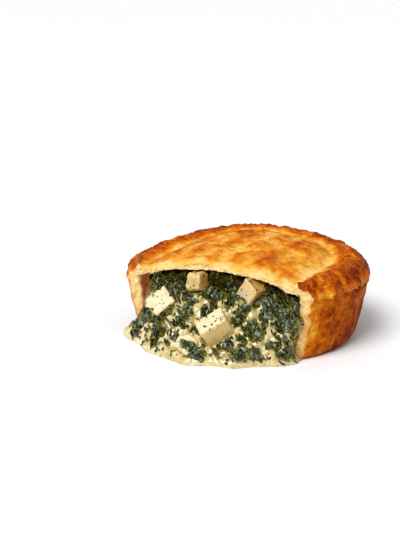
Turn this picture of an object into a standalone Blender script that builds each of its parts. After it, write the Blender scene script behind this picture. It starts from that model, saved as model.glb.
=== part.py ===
# A round individual spinach pie with a piece cut away, at its real size.
#
# Origin: the middle of the flat base, on the surface the pie stands on. +Z is up.
# The open, cut side faces -Y, and +X is the right-hand end of the cut.
# The pastry case and the pastry lid are turned shapes. The filling is one solid that
# fills the case and spills out of the cut, with the wilted leaves fused to it, and the
# cheese cubes are solids of their own that sit in pockets in it.

import math
import random

import bmesh
import bpy
from mathutils import Euler, Vector, noise

MM = 0.001

# --- Driving dimensions, in millimetres ------------------------------------------------
BASE_RADIUS = 50.2          # flat underside of the case
SEAM_RADIUS = 58.8          # top of the case wall, where the lid sits on it
SEAM_HEIGHT = 29.0
RIM_RADIUS = 60.0           # outer edge of the lid
RIM_HEIGHT = 31.8
CREST_RADIUS = 50.0         # top of the rounded band round the lid
CREST_HEIGHT = 39.6
CREASE_RADIUS = 40.5        # valley between the band and the dome
CREASE_HEIGHT = 37.9
DOME_HEIGHT = 45.4
CRUST = 4.1                 # thickness of the lid and of the case wall
FLOOR = 4.2                 # thickness of the case's floor
GAP = 0.3                   # clearance between neighbouring solids

CUT_AT_BASE = -31.0         # y of the cut at the table, and at the seam: it leans a little
CUT_AT_SEAM = -34.7
CRUMB_DEPTH = 0.55          # how ragged the cut pastry is
# The wall is thicker inside near the left end of the cut: height, how much
THICK_END = [(4.0, 0.0), (16.0, 2.9), (29.0, 5.0)]
THICK_FROM, THICK_TO = 182.0, 202.0     # where that begins and is full, by angle from +X
CRUMB_CELLS = (52, 20)      # cells across and up the ragged face

CASE_STEPS = 60             # segments round the case
LID_STEPS = 120             # segments round the lid
CRIMPS = 60                 # small scallops round the edge of the lid
CRIMP_DEPTH = 0.55

# Front edge of the spilt filling on the table, from its left end to its right end
SPILL_OUTLINE = [
    (-50.2, -35.6), (-47.6, -39.6), (-39.4, -43.9), (-33.4, -47.5), (-28.5, -53.1),
    (-21.6, -55.9), (-15.4, -57.6), (-8.7, -60.2), (-2.1, -62.6), (1.9, -60.9),
    (10.0, -57.0), (19.7, -56.2), (26.6, -49.8), (34.6, -45.5), (38.6, -42.1),
    (41.6, -38.8), (42.4, -36.0),
]
# Slope of the filling: share of the way from the cut to that edge, share of the height
SPILL_SLOPE = [
    (0.0, 1.0), (0.14, 0.90), (0.30, 0.73), (0.46, 0.54), (0.62, 0.36),
    (0.77, 0.215), (0.89, 0.125), (0.965, 0.065), (1.0, 0.0),
]
SPILL_LOBE = ((-45.2, -34.0, 0.4), (5.0, 5.4, 4.4))   # middle and radii, left of the wall
# Where the filling ends to the left and to the right in front of the cut: height, x
SPILL_LEFT = [
    (0.2, -50.0), (3.5, -48.0), (6.9, -45.6), (9.0, -42.8), (10.9, -40.4), (15.3, -38.0),
    (19.0, -37.4), (23.0, -35.9), (29.0, -35.6),
]
SPILL_RIGHT = [(0.2, 42.4), (2.0, 40.6), (5.3, 39.0), (8.7, 39.8), (14.6, 40.8), (29.0, 42.3)]
# How high the spill may stand in front of the two ends of the wall: x, height
SHOULDER_LEFT = [(-49.7, 1.5), (-48.0, 4.2), (-45.6, 7.4), (-43.3, 10.6), (-41.4, 14.0), (-39.0, 31.0)]
SHOULDER_RIGHT = [(40.5, 31.0), (41.6, 9.0), (42.4, 1.5)]
UNDER_LID = 1.1             # the filling's top lies this far under the lid
RECESS = 2.6                # and sinks this much further at the cut
RECESS_DEPTH = 16.0         # and meets the lid this far behind the cut

# Cheese cubes: place of the middle, edge lengths, turn about X, Y and Z in degrees
CHEESE_CUBES = [
    ((-26.4, -38.2, 19.8), (11.6, 10.0, 11.0), (-125, -38, 35)),
    ((-8.9, -36.5, 32.2), (9.2, 7.9, 8.4), (-173, 8, 171)),
    ((18.2, -33.3, 29.5), (12.2, 9.5, 10.2), (-94, -56, -16)),
    ((6.6, -48.0, 14.9), (13.8, 9.2, 11.9), (-154, -32, 29)),
    ((-5.0, -53.0, 6.7), (9.0, 9.6, 7.4), (-46, 52, -138)),
]

LEAF_CLUMPS = 32            # wilted leaves fused to the filling
LEAF_LUMPS = 16             # and small rounded clumps of chopped leaf
CURD_CRUMBS = 4             # small crumbs of cheese


# --- Small helpers ---------------------------------------------------------------------
def clamp(value, low=0.0, high=1.0):
    return max(low, min(high, value))


def smooth(low, high, value):
    share = clamp((value - low) / (high - low))
    return share * share * (3.0 - 2.0 * share)


def along(points, x):
    # The y at x of the line through these (x, y) points
    if x <= points[0][0]:
        return points[0][1]
    for (x0, y0), (x1, y1) in zip(points, points[1:]):
        if x <= x1:
            return y0 + (y1 - y0) * (x - x0) / (x1 - x0)
    return points[-1][1]


def bumps(x, y, z, size):
    # Smooth noise between about -1 and 1 whose bumps are of the given size
    return noise.noise(Vector((x / size, y / size, z / size)))


def new_material(name, color, roughness):
    material = bpy.data.materials.new(name)
    material.use_nodes = True
    shader = material.node_tree.nodes["Principled BSDF"]
    shader.inputs["Base Color"].default_value = (*color, 1.0)
    shader.inputs["Roughness"].default_value = roughness
    return material


def new_object(name, mesh, collection):
    thing = bpy.data.objects.new(name, mesh)
    collection.objects.link(thing)
    return thing


def bake(thing):
    # Replaces the object's mesh by what its modifiers make of it
    graph = bpy.context.evaluated_depsgraph_get()
    mesh = bpy.data.meshes.new_from_object(thing.evaluated_get(graph))
    thing.modifiers.clear()
    thing.data = mesh


def boolean(thing, other, operation, solver="EXACT"):
    step = thing.modifiers.new("boolean", "BOOLEAN")
    step.operation = operation
    step.object = other
    step.solver = solver
    bake(thing)


def turned(name, profile, steps, collection):
    # Turns an outline of (radius, height) points about the upright axis
    mesh = bpy.data.meshes.new(name)
    points = [(radius * MM, 0.0, height * MM) for radius, height in profile]
    edges = [(i, i + 1) for i in range(len(points) - 1)]
    mesh.from_pydata(points, edges, [])
    thing = new_object(name, mesh, collection)
    screw = thing.modifiers.new("turn", "SCREW")
    screw.steps = steps
    screw.render_steps = steps
    screw.use_merge_vertices = True
    screw.merge_threshold = 0.00001
    bake(thing)
    return thing


def move_points(thing, rule):
    # Moves every point of a mesh by a rule that takes and returns millimetres
    for vertex in thing.data.vertices:
        x, y, z = (value / MM for value in vertex.co)
        vertex.co = [value * MM for value in rule(x, y, z)]


def shade(thing, angle):
    thing.data.shade_smooth()
    thing.data.set_sharp_from_angle(angle=math.radians(angle))


def remove(*things):
    for thing in things:
        bpy.data.objects.remove(thing)


# --- Form of the pastry ----------------------------------------------------------------
def case_profile(grow=0.0):
    # From the middle of the floor, up the inside, over the rim and down the outside
    inner_top = SEAM_RADIUS - CRUST
    return [
        (0.0, FLOOR + grow),
        (BASE_RADIUS - 4.0 - grow, FLOOR + grow),
        (BASE_RADIUS - 0.6 - grow, FLOOR + 3.0),
        (inner_top - 1.9 - grow, 17.0),
        (inner_top - grow, SEAM_HEIGHT + grow),
        (inner_top + 0.8, SEAM_HEIGHT + grow),
        (SEAM_RADIUS - 0.5 + grow, SEAM_HEIGHT + grow),
        (SEAM_RADIUS + grow, SEAM_HEIGHT - 0.8),
        (SEAM_RADIUS - 0.9 + grow, 23.0),
        (SEAM_RADIUS - 2.4 + grow, 15.0),
        (SEAM_RADIUS - 4.4 + grow, 6.0),
        (BASE_RADIUS + 2.8 + grow, 2.2),
        (BASE_RADIUS + 1.4 + grow, 0.6),
        (BASE_RADIUS, -grow),
        (0.0, -grow),
    ]


LID_TOP = [
    (0.0, DOME_HEIGHT),
    (12.0, DOME_HEIGHT - 0.4),
    (22.0, DOME_HEIGHT - 1.6),
    (30.0, DOME_HEIGHT - 3.3),
    (36.0, CREASE_HEIGHT + 2.0),
    (CREASE_RADIUS, CREASE_HEIGHT),
    (44.5, CREST_HEIGHT - 0.7),
    (CREST_RADIUS, CREST_HEIGHT),
    (54.5, CREST_HEIGHT - 1.9),
    (57.8, CREST_HEIGHT - 4.4),
    (RIM_RADIUS - 0.2, RIM_HEIGHT),
    (59.6, SEAM_HEIGHT + GAP + 0.6),
]
LID_UNDERSIDE = [
    (0.0, DOME_HEIGHT - CRUST),
    (22.0, DOME_HEIGHT - CRUST - 0.8),
    (31.0, CREASE_HEIGHT + 0.6),
    (36.0, CREASE_HEIGHT - 1.0),
    (CREASE_RADIUS, CREASE_HEIGHT - 3.9),
    (46.0, SEAM_HEIGHT + 4.2),
    (50.5, SEAM_HEIGHT + 2.8),
    (SEAM_RADIUS - CRUST, SEAM_HEIGHT + GAP),
    (SEAM_RADIUS - 0.4, SEAM_HEIGHT + GAP),
]
# Round the lid, by angle from +X, counted on past 180 up to the cut: how much higher
# or lower it lies than the turned outline, and how much further out the crease runs
LID_LIFT = [
    (-90.0, -0.8), (-45.0, -1.5), (-20.0, -0.9), (0.0, -0.3), (30.0, 0.3), (60.0, 0.8),
    (80.0, 1.5), (95.0, 2.3), (110.0, 2.7), (122.0, 2.4), (135.0, 1.2), (151.0, -0.4),
    (167.0, -1.6), (183.0, -3.1), (215.0, -2.6), (235.0, -1.9), (270.0, -0.8),
]
CREASE_OUT = [
    (-90.0, 9.5), (-45.0, 9.5), (-38.0, 8.5), (-30.0, 5.5), (-20.0, 2.2),
    (-10.0, 1.0), (10.0, 0.0), (30.0, 1.5), (90.0, 0.8), (150.0, -0.5), (175.0, -0.8),
    (190.0, 1.5), (205.0, 5.0), (215.0, 8.5), (225.0, 9.5), (270.0, 9.5),
]


def cut_y(z):
    # The cut leans: it is nearer the middle at the table than at the seam
    return CUT_AT_BASE + (CUT_AT_SEAM - CUT_AT_BASE) * clamp(z / SEAM_HEIGHT, 0.0, 1.25)


def lid_angle(x, y):
    angle = math.degrees(math.atan2(y, x))
    return angle + 360.0 if angle < -90.0 else angle


def lid_lift(x, y):
    return along(LID_LIFT, lid_angle(x, y)) * smooth(10.0, 44.0, math.hypot(x, y))


def drawn_out(radius, angle):
    # The crease runs out to the rim at both ends of the cut, and takes what is near along
    reach = smooth(16.0, CREASE_RADIUS, radius) * smooth(58.0, CREASE_RADIUS + 1.0, radius)
    return radius + along(CREASE_OUT, angle) * reach


def underside_fade(radius):
    # The underside keeps its height where it rests on the wall
    return smooth(54.0, 46.0, radius)


def lid_form(x, y, z):
    radius = math.hypot(x, y)
    if radius < 0.01:
        return x, y, z
    angle = lid_angle(x, y)
    wider = drawn_out(radius, angle)
    if z < along(LID_UNDERSIDE, radius) + 0.1:
        higher = z + lid_lift(x, y) * underside_fade(radius)
        return x * wider / radius, y * wider / radius, higher
    higher = z + lid_lift(x, y) * smooth(60.0, 55.5, radius)
    band = smooth(CREASE_RADIUS - 3.0, CREASE_RADIUS + 5.0, radius)
    dome = 1.0 - band
    higher += dome * (1.0 * bumps(x, y, 3.0, 15.0) + 0.5 * bumps(x, y, 9.0, 7.0))
    higher += band * 0.7 * bumps(x, y, 5.0, 6.0)
    if radius > 56.0:
        deep = 0.5 + 0.5 * bumps(x, y, 0.0, 9.0)
        wider += CRIMP_DEPTH * deep * math.cos(math.radians(angle) * CRIMPS) - 0.3
        wider -= 1.1 * smooth(188.0, 212.0, angle)
    return x * wider / radius, y * wider / radius, higher


def case_form(x, y, z):
    radius = math.hypot(x, y)
    if z < 1.0 or radius < BASE_RADIUS - 6.0:
        return x, y, z
    inner_wall = along([(height, wide) for wide, height in case_profile()[1:5]], z)
    if radius > inner_wall + 2.0:
        # outside: soft hollows
        wider = radius + 0.45 * bumps(x, y, z * 1.6, 12.0)
        return x * wider / radius, y * wider / radius, z
    if radius > inner_wall + 0.4:
        return x, y, z
    # inside: thicker at the left end of the cut, where it stands up to the lid
    share = smooth(THICK_FROM, THICK_TO, lid_angle(x, y))
    narrower = radius - share * along(THICK_END, z)
    x, y = x * narrower / radius, y * narrower / radius
    if z > SEAM_HEIGHT - 0.1:
        z += share * (under_lid(x, y) - 0.5 - SEAM_HEIGHT)
    return x, y, z


# --- Cutting ---------------------------------------------------------------------------
def whole_width(_z):
    return -70.0, 70.0


def spill_width(z):
    return along(SPILL_LEFT, z), along(SPILL_RIGHT, z)


def cut_tool(name, ahead, low, cells, cutters, width=whole_width):
    # A block in front of the cut, whose back face is ragged like torn pastry
    height, depth = 60.0, 60.0
    mesh = bpy.data.meshes.new(name)
    shape = bmesh.new()
    bmesh.ops.create_grid(shape, x_segments=cells[0], y_segments=cells[1], size=0.5)
    for vertex in shape.verts:
        z = low + (vertex.co.y + 0.5) * height
        left, right = width(z)
        x = left + (right - left) * (vertex.co.x + 0.5)
        ragged = CRUMB_DEPTH * (bumps(x, 0.0, z, 4.2) + 0.6 * bumps(x, 7.0, z, 2.4))
        vertex.co = Vector((x, cut_y(z) + ragged - ahead, z)) * MM
    grown = bmesh.ops.extrude_face_region(shape, geom=list(shape.faces))
    for item in grown["geom"]:
        if isinstance(item, bmesh.types.BMVert):
            item.co.y = (CUT_AT_SEAM - depth) * MM
    bmesh.ops.recalc_face_normals(shape, faces=shape.faces)
    shape.to_mesh(mesh)
    shape.free()
    thing = new_object(name, mesh, cutters)
    thing.hide_render = True
    thing.display_type = "WIRE"
    return thing


# --- Form of the filling ---------------------------------------------------------------
def under_lid(x, y, outward=0.0):
    # Height of the lid's underside over a spot, or over one further out
    angle = lid_angle(x, y)
    low, high = 0.0, math.hypot(x, y) + outward
    target = high
    for _halving in range(12):
        radius = (low + high) / 2.0
        if drawn_out(radius, angle) < target:
            low = radius
        else:
            high = radius
    shrink = low / max(target, 0.01)
    lift = lid_lift(x * shrink, y * shrink) * underside_fade(low)
    return along(LID_UNDERSIDE, low) + lift


def filling_height(x, y):
    # Top of the filling: under the lid behind the cut, a slope in front of it
    at_cut = cut_y(SEAM_HEIGHT)
    behind = y - at_cut
    if behind > RECESS_DEPTH:
        return min(under_lid(x, y, step) for step in (-5.0, 0.0, 5.0)) - UNDER_LID
    if behind >= 0.0:
        sunk = RECESS * smooth(RECESS_DEPTH, 4.0, behind)
        return under_lid(x, y) - UNDER_LID - sunk
    # in front of the cut: from the height at the cut down to the spill's edge
    share = clamp(-behind / max(at_cut - along(SPILL_OUTLINE, x), 0.5))
    start = under_lid(x, at_cut) - UNDER_LID - RECESS
    return min(start, spill_shoulder(x)) * along(SPILL_SLOPE, share)


def spill_shoulder(x):
    return along(SHOULDER_LEFT if x < 0.0 else SHOULDER_RIGHT, x)


def filling_relief(x, y, height):
    # Lumps of the wet surface, fading out at the thin edge of the spill
    fade = smooth(0.5, 6.0, height)
    return fade * (1.5 * bumps(x, y, height, 7.5) + 0.7 * bumps(x, y, height, 3.4))


def filling_block(collection):
    # Everything under the filling's top surface, over the case and the spill
    columns, slope_rows = 30, 9
    at_cut = cut_y(SEAM_HEIGHT)
    rows = []
    for number in range(slope_rows + 1):
        share = 1.0 - (number / slope_rows) ** 1.15
        rows.append((0.0, lambda edge, share=share: at_cut + (edge - at_cut) * share))
    for y in (-31.0, -27.0, -22.5, -18.0, -8.0, 8.0, 24.0, 42.0, 57.0):
        rows.append((smooth(-34.0, -20.0, y), lambda edge, y=y: y))
    left, right = SPILL_OUTLINE[0][0], SPILL_OUTLINE[-1][0]
    shape = bmesh.new()
    grid = []
    for number, (spread, row_y) in enumerate(rows):
        line = []
        for column in range(columns + 1):
            share = column / columns
            near = left + (right - left) * share
            x = near + (112.0 * share - 56.0 - near) * spread
            y = row_y(along(SPILL_OUTLINE, x))
            height = filling_height(x, y)
            if number == 0:
                height = -1.2
            elif number < slope_rows + 4:
                push = filling_relief(x, y, height)
                height += push * 0.8
                y -= push * 0.5 * smooth(2.0, 8.0, height)
            line.append(shape.verts.new(Vector((x, y, height)) * MM))
        grid.append(line)
    for line, following in zip(grid, grid[1:]):
        for column in range(columns):
            corners = (line[column], line[column + 1], following[column + 1], following[column])
            shape.faces.new(corners)
    rim = [edge for edge in shape.edges if edge.is_boundary]
    grown = bmesh.ops.extrude_edge_only(shape, edges=rim)
    for item in grown["geom"]:
        if isinstance(item, bmesh.types.BMVert):
            item.co.z = -6.0 * MM
    bmesh.ops.holes_fill(shape, edges=[edge for edge in shape.edges if edge.is_boundary])
    bmesh.ops.recalc_face_normals(shape, faces=shape.faces)
    mesh = bpy.data.meshes.new("filling_block")
    shape.to_mesh(mesh)
    shape.free()
    return new_object("filling_block", mesh, collection)


def spill_lobe(collection):
    # The lobe of sauce that has run round the left-hand end of the wall
    middle, radii = SPILL_LOBE
    shape = bmesh.new()
    bmesh.ops.create_uvsphere(shape, u_segments=20, v_segments=12, radius=1.0)
    for vertex in shape.verts:
        swell = 1.0 + 0.14 * bumps(vertex.co.x, vertex.co.y, vertex.co.z, 0.8)
        vertex.co = Vector([c * r * swell + m for c, r, m in zip(vertex.co, radii, middle)]) * MM
    bmesh.ops.recalc_face_normals(shape, faces=shape.faces)
    mesh = bpy.data.meshes.new("spill_lobe")
    shape.to_mesh(mesh)
    shape.free()
    return new_object("spill_lobe", mesh, collection)


def table_slab(collection):
    # Below the table: what the filling and its leaves reach into is trimmed flat
    shape = bmesh.new()
    bmesh.ops.create_cube(shape, size=1.0)
    for vertex in shape.verts:
        spot = vertex.co
        vertex.co = Vector((spot.x * 150.0, spot.y * 160.0, spot.z * 20.0 - 10.0)) * MM
    mesh = bpy.data.meshes.new("table_slab")
    shape.to_mesh(mesh)
    shape.free()
    return new_object("table_slab", mesh, collection)


def surface_frame(x, y):
    # A point on the filling and the direction that faces out of it
    reach = 1.0
    height = filling_height(x, y)
    along_x = filling_height(x + reach, y) - filling_height(x - reach, y)
    along_y = filling_height(x, y + reach) - filling_height(x, y - reach)
    normal = Vector((-along_x, -along_y, 2.0 * reach)).normalized()
    return Vector((x, y, height)), normal


# --- Pieces in the filling -------------------------------------------------------------
def cheese_cube(name, place, edges, turn, grow, collection):
    shape = bmesh.new()
    bmesh.ops.create_cube(shape, size=1.0)
    bmesh.ops.subdivide_edges(shape, edges=list(shape.edges), cuts=2, use_grid_fill=True)
    size = Vector(edges) + Vector((grow, grow, grow)) * 2.0
    for vertex in shape.verts:
        corner = sum(1 for value in vertex.co if abs(value) > 0.49)
        point = Vector([value * length for value, length in zip(vertex.co, size)])
        soft = bumps(point.x + place[0], point.y, point.z, 5.0)
        inward = 0.0 if corner < 2 else (0.5 if corner == 2 else 1.05)
        point -= point.normalized() * inward
        point += point.normalized() * soft * 0.3
        vertex.co = point * MM
    mesh = bpy.data.meshes.new(name)
    shape.to_mesh(mesh)
    shape.free()
    thing = new_object(name, mesh, collection)
    thing.location = Vector(place) * MM
    thing.rotation_euler = Euler([math.radians(angle) for angle in turn])
    return thing


def leaf_clump(length, width, curl, wave, draw):
    # A wilted, folded piece of leaf: one wavy sheet made solid
    shape = bmesh.new()
    bmesh.ops.create_grid(shape, x_segments=3, y_segments=2, size=0.5)
    phase = draw.uniform(0.0, 6.28)
    for vertex in shape.verts:
        u, v = vertex.co.x, vertex.co.y
        narrow = 1.0 - 1.5 * u * u
        x = u * length
        y = v * width * narrow
        z = curl * (0.25 - u * u) * length + wave * math.sin(5.0 * u + 4.0 * v + phase)
        z -= abs(v) * 0.35 * width
        vertex.co = Vector((x, y, z)) * MM
    mesh = bpy.data.meshes.new("leaf")
    shape.to_mesh(mesh)
    shape.free()
    return mesh


def lump(length, width, height, seed_x):
    shape = bmesh.new()
    bmesh.ops.create_uvsphere(shape, u_segments=6, v_segments=4, radius=1.0)
    for vertex in shape.verts:
        swell = 1.0 + 0.35 * bumps(vertex.co.x + seed_x, vertex.co.y, vertex.co.z, 0.8)
        point = vertex.co * swell
        vertex.co = Vector((point.x * length, point.y * width, point.z * height)) * 0.5 * MM
    mesh = bpy.data.meshes.new("lump")
    shape.to_mesh(mesh)
    shape.free()
    return mesh


def clear_of_cubes(point, reach):
    for place, edges, _turn in CHEESE_CUBES:
        if (point - Vector(place)).length < 0.62 * max(edges) + reach:
            return False
    return True


def spread_points(count, spacing, reach, draw):
    # Points on the slope and the spill, no two closer than the spacing
    points = []
    for _try in range(count * 60):
        if len(points) == count:
            break
        x = draw.uniform(-50.0, 40.0)
        edge = along(SPILL_OUTLINE, x)
        y = draw.uniform(edge + 2.5, -31.0)
        if abs(x) > 34.0 and y > -36.5:
            continue
        if x > 36.0 or x < -44.5:
            continue
        point, normal = surface_frame(x, y)
        if point.z < 1.2 or not clear_of_cubes(point, reach):
            continue
        if any((point - other).length < spacing for other, _normal in points):
            continue
        points.append((point, normal))
    return points


def set_on_surface(thing, point, normal, sink, spin):
    turn = normal.to_track_quat("Z", "Y")
    thing.rotation_mode = "QUATERNION"
    thing.rotation_quaternion = turn @ Euler((0.0, 0.0, spin)).to_quaternion()
    thing.location = (point - normal * sink) * MM


def scatter_leaves(scraps):
    draw = random.Random(11)
    for number, (point, normal) in enumerate(spread_points(LEAF_CLUMPS, 4.4, 2.2, draw)):
        length = draw.uniform(6.0, 11.0)
        width = draw.uniform(4.0, 6.5)
        mesh = leaf_clump(length, width, draw.uniform(0.25, 0.6), draw.uniform(0.3, 0.8), draw)
        thing = new_object(f"leaf_{number}", mesh, scraps)
        thick = thing.modifiers.new("thickness", "SOLIDIFY")
        thick.thickness = 1.1 * MM
        thick.offset = 0.0
        bake(thing)
        set_on_surface(thing, point, normal, draw.uniform(-0.3, 0.6), draw.uniform(0.0, 6.28))
    for number, (point, normal) in enumerate(spread_points(LEAF_LUMPS, 4.8, 2.6, draw)):
        size = draw.uniform(4.0, 6.6)
        mesh = lump(size * 1.3, size, size * 0.8, number * 1.7)
        thing = new_object(f"lump_{number}", mesh, scraps)
        set_on_surface(thing, point, normal, draw.uniform(0.2, 0.9), draw.uniform(0.0, 6.28))
    for number, (point, normal) in enumerate(spread_points(CURD_CRUMBS, 7.0, 3.0, draw)):
        size = draw.uniform(2.6, 3.8)
        mesh = lump(size * 1.2, size, size, number * 2.3 + 40.0)
        thing = new_object(f"crumb_{number}", mesh, scraps)
        set_on_surface(thing, point, normal, 0.1, draw.uniform(0.0, 6.28))


def fuse_all(thing, scraps):
    fuse = thing.modifiers.new("fuse", "BOOLEAN")
    fuse.operation = "UNION"
    fuse.operand_type = "COLLECTION"
    fuse.collection = scraps
    fuse.solver = "MANIFOLD"
    bake(thing)


def biggest_body(thing):
    # Drops loose scraps that cutting may leave
    shape = bmesh.new()
    shape.from_mesh(thing.data)
    left = set(shape.verts)
    bodies = []
    while left:
        body = {left.pop()}
        edge_of_search = list(body)
        while edge_of_search:
            vertex = edge_of_search.pop()
            for edge in vertex.link_edges:
                other = edge.other_vert(vertex)
                if other in left:
                    left.discard(other)
                    body.add(other)
                    edge_of_search.append(other)
        bodies.append(body)
    bodies.sort(key=len)
    for body in bodies[:-1]:
        bmesh.ops.delete(shape, geom=list(body), context="VERTS")
    shape.to_mesh(thing.data)
    shape.free()


# --- The pieces of the pie -------------------------------------------------------------
def make_case(parts, cutter):
    case = turned("pastry_case", case_profile(), CASE_STEPS, parts)
    move_points(case, case_form)
    boolean(case, cutter, "DIFFERENCE")
    shade(case, 40)
    return case


def make_lid(parts, cutter):
    lid = turned("pastry_lid", LID_TOP + LID_UNDERSIDE[::-1], LID_STEPS, parts)
    move_points(lid, lid_form)
    boolean(lid, cutter, "DIFFERENCE")
    biggest_body(lid)
    shade(lid, 40)
    return lid


def make_cubes(parts):
    return [
        cheese_cube(f"cheese_cube_{number}", place, edges, turn, 0.0, parts)
        for number, (place, edges, turn) in enumerate(CHEESE_CUBES, start=1)
    ]


def make_filling(parts, cutters, scraps):
    clear = GAP + 0.25
    clear_case = turned("clear_case", case_profile(clear), CASE_STEPS, cutters)
    move_points(clear_case, case_form)
    clear_cut = cut_tool("clear_cut", GAP, -8.0, CRUMB_CELLS, cutters)
    boolean(clear_case, clear_cut, "DIFFERENCE")

    # room for the filling: inside the case, and anywhere in front of the cut
    room = cut_tool("room", -1.1, -5.0, (4, 24), cutters, spill_width)
    wall = [(radius - 0.4, height + 0.1) for radius, height in case_profile(clear)[1:5]]
    top = (wall[-1][0], 62.0)
    profile = [(0.0, wall[0][1])] + wall + [top, (0.0, top[1])]
    inside = turned("inside", profile[::-1], 48, cutters)
    boolean(room, inside, "UNION")

    # EXACT keeps what INTERSECT should drop from this block, so MANIFOLD joins and cuts it
    filling = filling_block(parts)
    filling.name = "spinach_filling"
    boolean(filling, room, "INTERSECT", "MANIFOLD")
    boolean(filling, spill_lobe(cutters), "UNION", "MANIFOLD")
    scatter_leaves(scraps)
    fuse_all(filling, scraps)
    boolean(filling, clear_case, "DIFFERENCE", "MANIFOLD")
    boolean(filling, table_slab(cutters), "DIFFERENCE", "MANIFOLD")
    for number, (place, edges, turn) in enumerate(CHEESE_CUBES):
        pocket = cheese_cube(f"pocket_{number}", place, edges, turn, GAP + 0.1, cutters)
        boolean(filling, pocket, "DIFFERENCE", "MANIFOLD")
    biggest_body(filling)
    shade(filling, 50)
    for collection in (scraps, cutters):
        remove(*collection.objects)
    return filling


def main():
    for thing in list(bpy.data.objects):
        bpy.data.objects.remove(thing)
    scene = bpy.context.scene.collection
    parts = bpy.data.collections.new("spinach_pie")
    cutters = bpy.data.collections.new("cutters")
    scraps = bpy.data.collections.new("scraps")
    for collection in (parts, cutters, scraps):
        scene.children.link(collection)

    cutter = cut_tool("cut", 0.0, -8.0, CRUMB_CELLS, cutters)
    case = make_case(parts, cutter)
    lid = make_lid(parts, cutter)
    filling = make_filling(parts, cutters, scraps)
    cubes = make_cubes(parts)
    for collection in (scraps, cutters):
        bpy.data.collections.remove(collection)

    case.data.materials.append(new_material("baked pastry wall", (0.62, 0.30, 0.08), 0.55))
    lid.data.materials.append(new_material("glazed pastry lid", (0.58, 0.22, 0.04), 0.38))
    filling.data.materials.append(new_material("spinach in cream", (0.20, 0.24, 0.08), 0.30))
    cheese = new_material("white cheese", (0.86, 0.76, 0.52), 0.45)
    for cube in cubes:
        cube.data.materials.append(cheese)
        shade(cube, 35)


main()
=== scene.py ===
import math
import random

import bmesh
import bpy
import numpy as np
from mathutils import Euler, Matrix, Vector, noise
from mathutils.bvhtree import BVHTree


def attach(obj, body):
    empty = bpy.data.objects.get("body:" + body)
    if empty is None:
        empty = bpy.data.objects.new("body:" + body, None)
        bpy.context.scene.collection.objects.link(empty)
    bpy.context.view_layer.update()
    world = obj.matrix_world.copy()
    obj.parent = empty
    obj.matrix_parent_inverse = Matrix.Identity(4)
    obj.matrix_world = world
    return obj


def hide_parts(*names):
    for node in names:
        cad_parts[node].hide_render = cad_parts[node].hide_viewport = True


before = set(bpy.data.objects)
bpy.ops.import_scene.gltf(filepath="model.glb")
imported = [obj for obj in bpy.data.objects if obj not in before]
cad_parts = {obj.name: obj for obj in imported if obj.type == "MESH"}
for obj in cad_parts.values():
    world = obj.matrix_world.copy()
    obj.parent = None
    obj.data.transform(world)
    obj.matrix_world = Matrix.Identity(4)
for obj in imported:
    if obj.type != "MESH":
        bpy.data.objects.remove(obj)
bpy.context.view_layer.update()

mm = 0.001              # everything below is in mm, and in metres once it is in a mesh
wayInFront = -95.0      # y of a plane that is clear of the spill
slopeOut = Vector((0.0, -0.55, 0.75)).normalized()      # straight out of the open side

# The pie's outline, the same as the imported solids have
pastry = {
    "baseRadius": 50.2,
    "seamRadius": 58.8,
    "seamHeight": 29.0,
    "rimRadius": 60.0,
    "rimHeight": 31.8,
    "crestRadius": 50.0,
    "crestHeight": 39.6,
    "creaseRadius": 40.5,
    "creaseHeight": 37.9,
    "domeHeight": 45.4,
    "crust": 4.1,
    "floor": 4.2,
    "cutAtBase": -31.0,     # y of the cut at the table and at the seam
    "cutAtSeam": -34.7,
    "thickEnd": [(4.0, 0.0), (16.0, 2.9), (29.0, 5.0)],     # extra thickness by height
    "thickFrom": 182.0,     # where it begins and is full, by angle from +X
    "thickTo": 202.0,
}


def smooth(low, high, value):
    share = np.clip((value - low) / (high - low), 0.0, 1.0)
    return share * share * (3.0 - 2.0 * share)


def along(points, x):
    xs, ys = zip(*points)
    return np.interp(x, xs, ys)


def bumps(x, y, z, size):
    # noise between about -1 and 1, with bumps of this size
    x, y, z = np.broadcast_arrays(x, y, z)
    flat = zip((x / size).ravel().tolist(), (y / size).ravel().tolist(), (z / size).ravel().tolist())
    return np.array([noise.noise(spot) for spot in flat]).reshape(x.shape)


def blisters(x, y, z, size):
    # rounded bubbles with creases between them, 0 to 1
    x, y, z = np.broadcast_arrays(x, y, z)
    bent = size * 0.45
    x = x + bent * bumps(x, y, z + 31.0, size * 1.5)
    y = y + bent * bumps(x, y, z + 57.0, size * 1.5)
    flat = zip((x / size).ravel().tolist(), (y / size).ravel().tolist(), (z / size).ravel().tolist())
    near = np.array([noise.voronoi(spot)[0][0] for spot in flat]).reshape(x.shape)
    return np.clip(1.0 - (near / 0.66) ** 2, 0.0, 1.0)


def curveThrough(points, gap):
    # a smooth line through the points, with a point about every gap mm
    spots = [Vector(point) for point in points]
    ends = [spots[0] * 2 - spots[1]] + spots + [spots[-1] * 2 - spots[-2]]
    line = []
    for before, start, stop, after in zip(ends, ends[1:], ends[2:], ends[3:]):
        count = max(1, round((stop - start).length / gap))
        for step in range(count):
            t = step / count
            line.append(0.5 * (2 * start + (stop - before) * t
                               + (2 * before - 5 * start + 4 * stop - after) * t ** 2
                               + (3 * start - before - 3 * stop + after) * t ** 3))
    line.append(spots[-1])
    return [tuple(spot) for spot in line]


def straightThrough(points, gap):
    line = []
    for start, stop in zip(points, points[1:]):
        count = max(1, round(math.dist(start, stop) / gap))
        for step in range(count):
            t = step / count
            line.append(tuple(a + (b - a) * t for a, b in zip(start, stop)))
    line.append(points[-1])
    return line


def newPiece(name, mesh):
    piece = bpy.data.objects.new(name, mesh)
    bpy.context.scene.collection.objects.link(piece)
    return piece


def pieceFromFaces(name, points, faces):
    mesh = bpy.data.meshes.new(name)
    mesh.from_pydata((np.asarray(points) * mm).tolist(), [], faces)
    mesh.update()
    return newPiece(name, mesh)


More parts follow.
